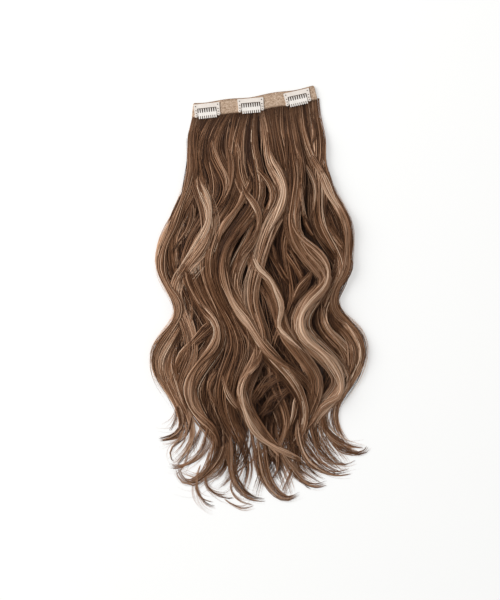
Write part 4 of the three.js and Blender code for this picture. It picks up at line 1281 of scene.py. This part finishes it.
def lacquer(name, shade):
    """Cream lacquer on pressed steel, satin, a little uneven."""
    finish = Finish(name, 0.34, Specular_IOR_Level=0.5)
    cloud = finish.noise(finish.scaled(finish.place(), 260.0), 1.0, 3.0)
    grain = finish.noise(finish.scaled(finish.place(), 2600.0), 1.0, 1.0)
    low, high = (paint(*(level - drop for level in shade)) for drop in (22, 0))
    finish.set("Base Color", finish.mix(finish.clamped(cloud * 1.3 - 0.15), low, high))
    finish.set("Roughness", 0.28 + cloud * 0.2)
    finish.bump(grain + cloud * 0.5, 0.03 * MM)
    return finish.material


def steel(name, bright):
    """Bare steel with fine drawn lines."""
    finish = Finish(name, 0.3, 1.0)
    line = finish.noise(finish.scaled(finish.place(), 1800.0), 1.0)
    low, high = (paint(*(bright * level for level in shade)) for shade in ((120, 112, 104), (176, 168, 160)))
    finish.set("Base Color", finish.mix(finish.clamped(line), low, high))
    finish.set("Roughness", 0.25 + line * 0.25)
    return finish.material


def silicone():
    """Dull dark brown silicone."""
    finish = Finish("grip_silicone", 0.5, Specular_IOR_Level=0.4)
    cloud = finish.noise(finish.scaled(finish.place(), 700.0), 1.0)
    finish.set("Base Color", finish.mix(finish.clamped(cloud), paint(52, 38, 30), paint(84, 64, 50)))
    finish.bump(cloud, 0.05 * MM)
    return finish.material


def finish_clips():
    finishes = {
        "frame": lacquer("frame_lacquer", (238, 229, 220)),
        "comb": lacquer("comb_lacquer", (244, 238, 231)),
        "pin": steel("pin_steel", 1.0),
        "grip": silicone(),
    }
    for name, node in frame["nodes"].items():
        if name.startswith("clip_"):
            for slot in node.material_slots:
                slot.material = finishes[name.rsplit("_", 1)[1]]


def make_knots():
    """The sewing thread where it fills the holes of each clip's arms, dark brown also as painted shade in the
    holes.
    """
    places, aims = [], []
    for joint in frame["record"]["behaviour"]["joints"]:
        hinge, run = Vector(joint["pos_m"][:2]), Vector(joint["axis"][:2])
        up = Vector((-run.y, run.x))
        for side in (-1, 1):
            for share in HOLE_PLACES:
                spot = hinge + run * side * HOLE_OUT + up * CLIP_HEIGHT * (1 - share)
                places.append((spot.x, spot.y, FRAME_UNDERSIDE + FRAME_THICKNESS))
                aims.append((run.x, run.y, 0))
    thread = thread_finish("clip_thread", paint(44, 31, 23), paint(78, 57, 43))
    knots = sewn("clip_thread", places, aims, 2 * KNOT_RADIUS, KNOT_RADIUS, thread)


def make_rivets():
    """The dark ends of the hinge pins' studs, in the dimples of each clip's ears: steel darkened as painted
    shade in the dimples.
    """
    places, aims = [], []
    for joint in frame["record"]["behaviour"]["joints"]:
        hinge, run = Vector(joint["pos_m"][:2]), Vector(joint["axis"][:2])
        for side in (-1, 1):
            spot = hinge + run * side * EAR_OUT
            places.append((spot.x, spot.y, DIMPLE_FLOOR))
            aims.append((run.x, run.y, 0))
    rivets = sewn("stud_rivets", places, aims, 2 * RIVET_RADIUS, RIVET_RADIUS, steel("rivet_steel", 0.4))


# Stage

def make_camera():
    """Straight above, from far off, with the picture 0.6 m by 0.72 m."""
    tall, far = 0.72, 4.0
    camera = bpy.data.cameras.new("camera")
    camera.sensor_width = 36
    camera.lens = 36 * far / tall
    holder = bpy.data.objects.new("camera", camera)
    holder.location = (-0.0054, -0.2348, far)
    bpy.context.scene.collection.objects.link(holder)
    bpy.context.scene.camera = holder


def make_light(name, spot, size, power):
    """A square lamp that faces the middle of the hair."""
    lamp = bpy.data.lights.new(name, "AREA")
    lamp.shape = "SQUARE"
    lamp.size = size
    lamp.energy = power
    holder = bpy.data.objects.new(name, lamp)
    holder.location = spot
    aim = Vector((0.0, -0.22, 0.0)) - Vector(spot)
    holder.rotation_euler = aim.to_track_quat("-Z", "Y").to_euler()
    bpy.context.scene.collection.objects.link(holder)


def make_stage():
    """The pale surface that the hair lies on, and the light round it."""
    half = 6.0
    finish = Finish("pale_surface", 0.6, Emission_Color=paint(250, 250, 249), Emission_Strength=0.47)
    finish.set("Base Color", paint(191, 191, 190))
    corners = [(-half, -half, 0), (half, -half, 0), (half, half, 0), (-half, half, 0)]
    make_object("floor", corners, [(0, 1, 2, 3)], finish.material)
    world = bpy.data.worlds.new("studio")
    world.use_nodes = True
    sky = world.node_tree.nodes["Background"]
    sky.inputs["Color"].default_value = (1, 1, 1, 1)
    sky.inputs["Strength"].default_value = 0.5
    bpy.context.scene.world = world
    make_light("window", (-2.5, 1.2, 2.0), 3.0, 148)
    bpy.context.scene.view_settings.view_transform = "Standard"


make_camera()
make_stage()
make_hair()
make_band()
finish_clips()
make_knots()
make_rivets()
